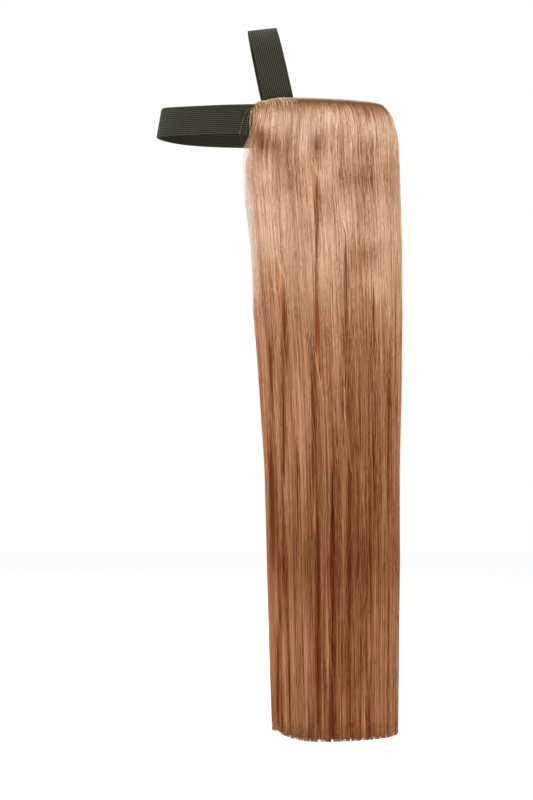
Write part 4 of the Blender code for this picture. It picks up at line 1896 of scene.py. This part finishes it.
@dataclass
class Studio:
    """Pale floor, white world, soft light and the camera at the photograph's place.

    Attributes:
        distance: from the middle of the head to the camera.
        eye: the camera's Y and Z.
        lens: its focal length for a 36 mm picture height.
        floor: the floor's height.
    """

    distance: float = 2.650
    eye: tuple[float, float] = (0.0037, -0.3103)
    lens: float = 141.3
    floor: float = -0.68

    def camera(self) -> None:
        """Sets the camera level, looking at the wearer's left side."""
        data = bpy.data.cameras.new("camera")
        data.sensor_fit = "AUTO"
        data.sensor_width = 36.0
        data.lens = self.lens
        data.clip_end = 30.0
        camera = bpy.data.objects.new("camera", data)
        camera.location = (self.distance, *self.eye)
        camera.rotation_euler = (math.radians(90.0), 0.0, math.radians(90.0))
        bpy.context.scene.collection.objects.link(camera)
        bpy.context.scene.camera = camera

    def ground(self) -> None:
        """Models the pale floor, well under the hair, which hangs free."""
        deselect_all()
        bpy.ops.mesh.primitive_circle_add(vertices=96, radius=5.0, fill_type="NGON", location=(0.0, 0.0, self.floor))
        floor = bpy.context.object
        floor.name = "floor"
        material, _, shader = new_material("pale_floor")
        shader.inputs["Base Color"].default_value = (0.93, 0.93, 0.93, 1.0)
        shader.inputs["Roughness"].default_value = 0.9
        floor.data.materials.append(material)

    def light(self, name: str, place: tuple[float, float, float], target: tuple[float, float, float], size: float, watts: float) -> None:
        """Adds one soft square light.

        Args:
            name: the light's name.
            place: where it stands.
            target: what it points at.
            size: its side.
            watts: its power.
        """
        data = bpy.data.lights.new(name, "AREA")
        data.energy = watts
        data.size = size
        lamp = bpy.data.objects.new(name, data)
        lamp.location = place
        lamp.rotation_euler = (Vector(target) - Vector(place)).to_track_quat("-Z", "Y").to_euler()
        bpy.context.scene.collection.objects.link(lamp)

    def build(self) -> None:
        """Sets up the whole studio."""
        self.camera()
        self.ground()
        world = bpy.data.worlds.new("studio")
        bpy.context.scene.world = world
        world.use_nodes = True
        world.node_tree.nodes["Background"].inputs["Color"].default_value = (1.0, 1.0, 1.0, 1.0)
        world.node_tree.nodes["Background"].inputs["Strength"].default_value = 1.0
        bpy.context.scene.view_settings.view_transform = "Standard"
        self.light("key", (2.2, -1.4, 1.9), (0.0, 0.03, -0.2), 1.6, 60.0)
        self.light("fill", (1.8, 2.2, 0.6), (0.0, 0.03, -0.3), 2.0, 25.0)
        self.light("back", (-2.4, 0.6, 1.4), (0.0, 0.03, -0.3), 1.8, 30.0)


FRAME_NODES: dict[str, bpy.types.Object] = {}

# Partly the hair's own colour and partly painted light: the pale top, with its lighter bands near 0.03 and 0.21 down,
# holds painted highlight from the light above.
HAIR = HairFinish(
    "hair",
    stops=(
        # Painted shade: the first stop is the dark shadow under the hem.
        ColourStop(0.003, (0.30, 0.15, 0.075)),
        ColourStop(0.012, (0.62, 0.37, 0.235)),
        ColourStop(0.022, (0.88, 0.62, 0.45)),
        ColourStop(0.036, (0.95, 0.72, 0.57)),
        ColourStop(0.085, (0.84, 0.56, 0.40)),
        ColourStop(0.21, (0.88, 0.61, 0.45)),
        ColourStop(0.27, (0.84, 0.55, 0.38)),
        ColourStop(0.34, (0.73, 0.43, 0.265)),
        ColourStop(0.45, (0.66, 0.355, 0.19)),
        ColourStop(0.73, (0.43, 0.185, 0.078)),
        ColourStop(0.82, (0.56, 0.270, 0.130)),
        ColourStop(1.00, (0.54, 0.260, 0.125)),
    ),
)


def main() -> None:
    """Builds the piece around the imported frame."""
    logging.basicConfig(level=logging.INFO, format="%(name)s %(message)s")
    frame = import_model()
    FRAME_NODES.update(frame["nodes"])
    studio = Studio()
    studio.build()
    strand_shade_group()
    weave_group()
    elastic = ElasticFinish("ribbed_elastic", (0.039, 0.037, 0.019, 1.0), (0.003, 0.003, 0.002, 1.0), (0.10, 0.09, 0.062, 1.0), 15, 24 * MM)
    band_material = elastic.build()
    HeadBand().build(band_material)
    CrownStrap().build(band_material)
    tape = ThreadFinish("weft_tape", (0.46, 0.32, 0.20, 1.0), (0.20, 0.12, 0.07, 1.0), 0.6).build()
    thread = ThreadFinish("sewing_thread", (0.60, 0.46, 0.32, 1.0), (0.24, 0.15, 0.09, 1.0), 0.3).build()
    track = WeftTrack()
    track.survey()
    track.strip(tape)
    track.stitches(thread)
    survey = CurtainSurvey()
    lattice = survey.read()
    curtain = HairCurtain(survey, lattice, HairTone(lattice))
    strand_material = HAIR.build_strands()
    body_material = HAIR.build_body()
    for index in range(survey.sections):
        curtain.body(index, body_material)
        curtain.strands(index, strand_material)
    for side in Side:
        curtain.loops(side, track, strand_material)
        curtain.end_hairs(side, strand_material)
    curtain.strays(strand_material)


if __name__ == "__main__":
    main()
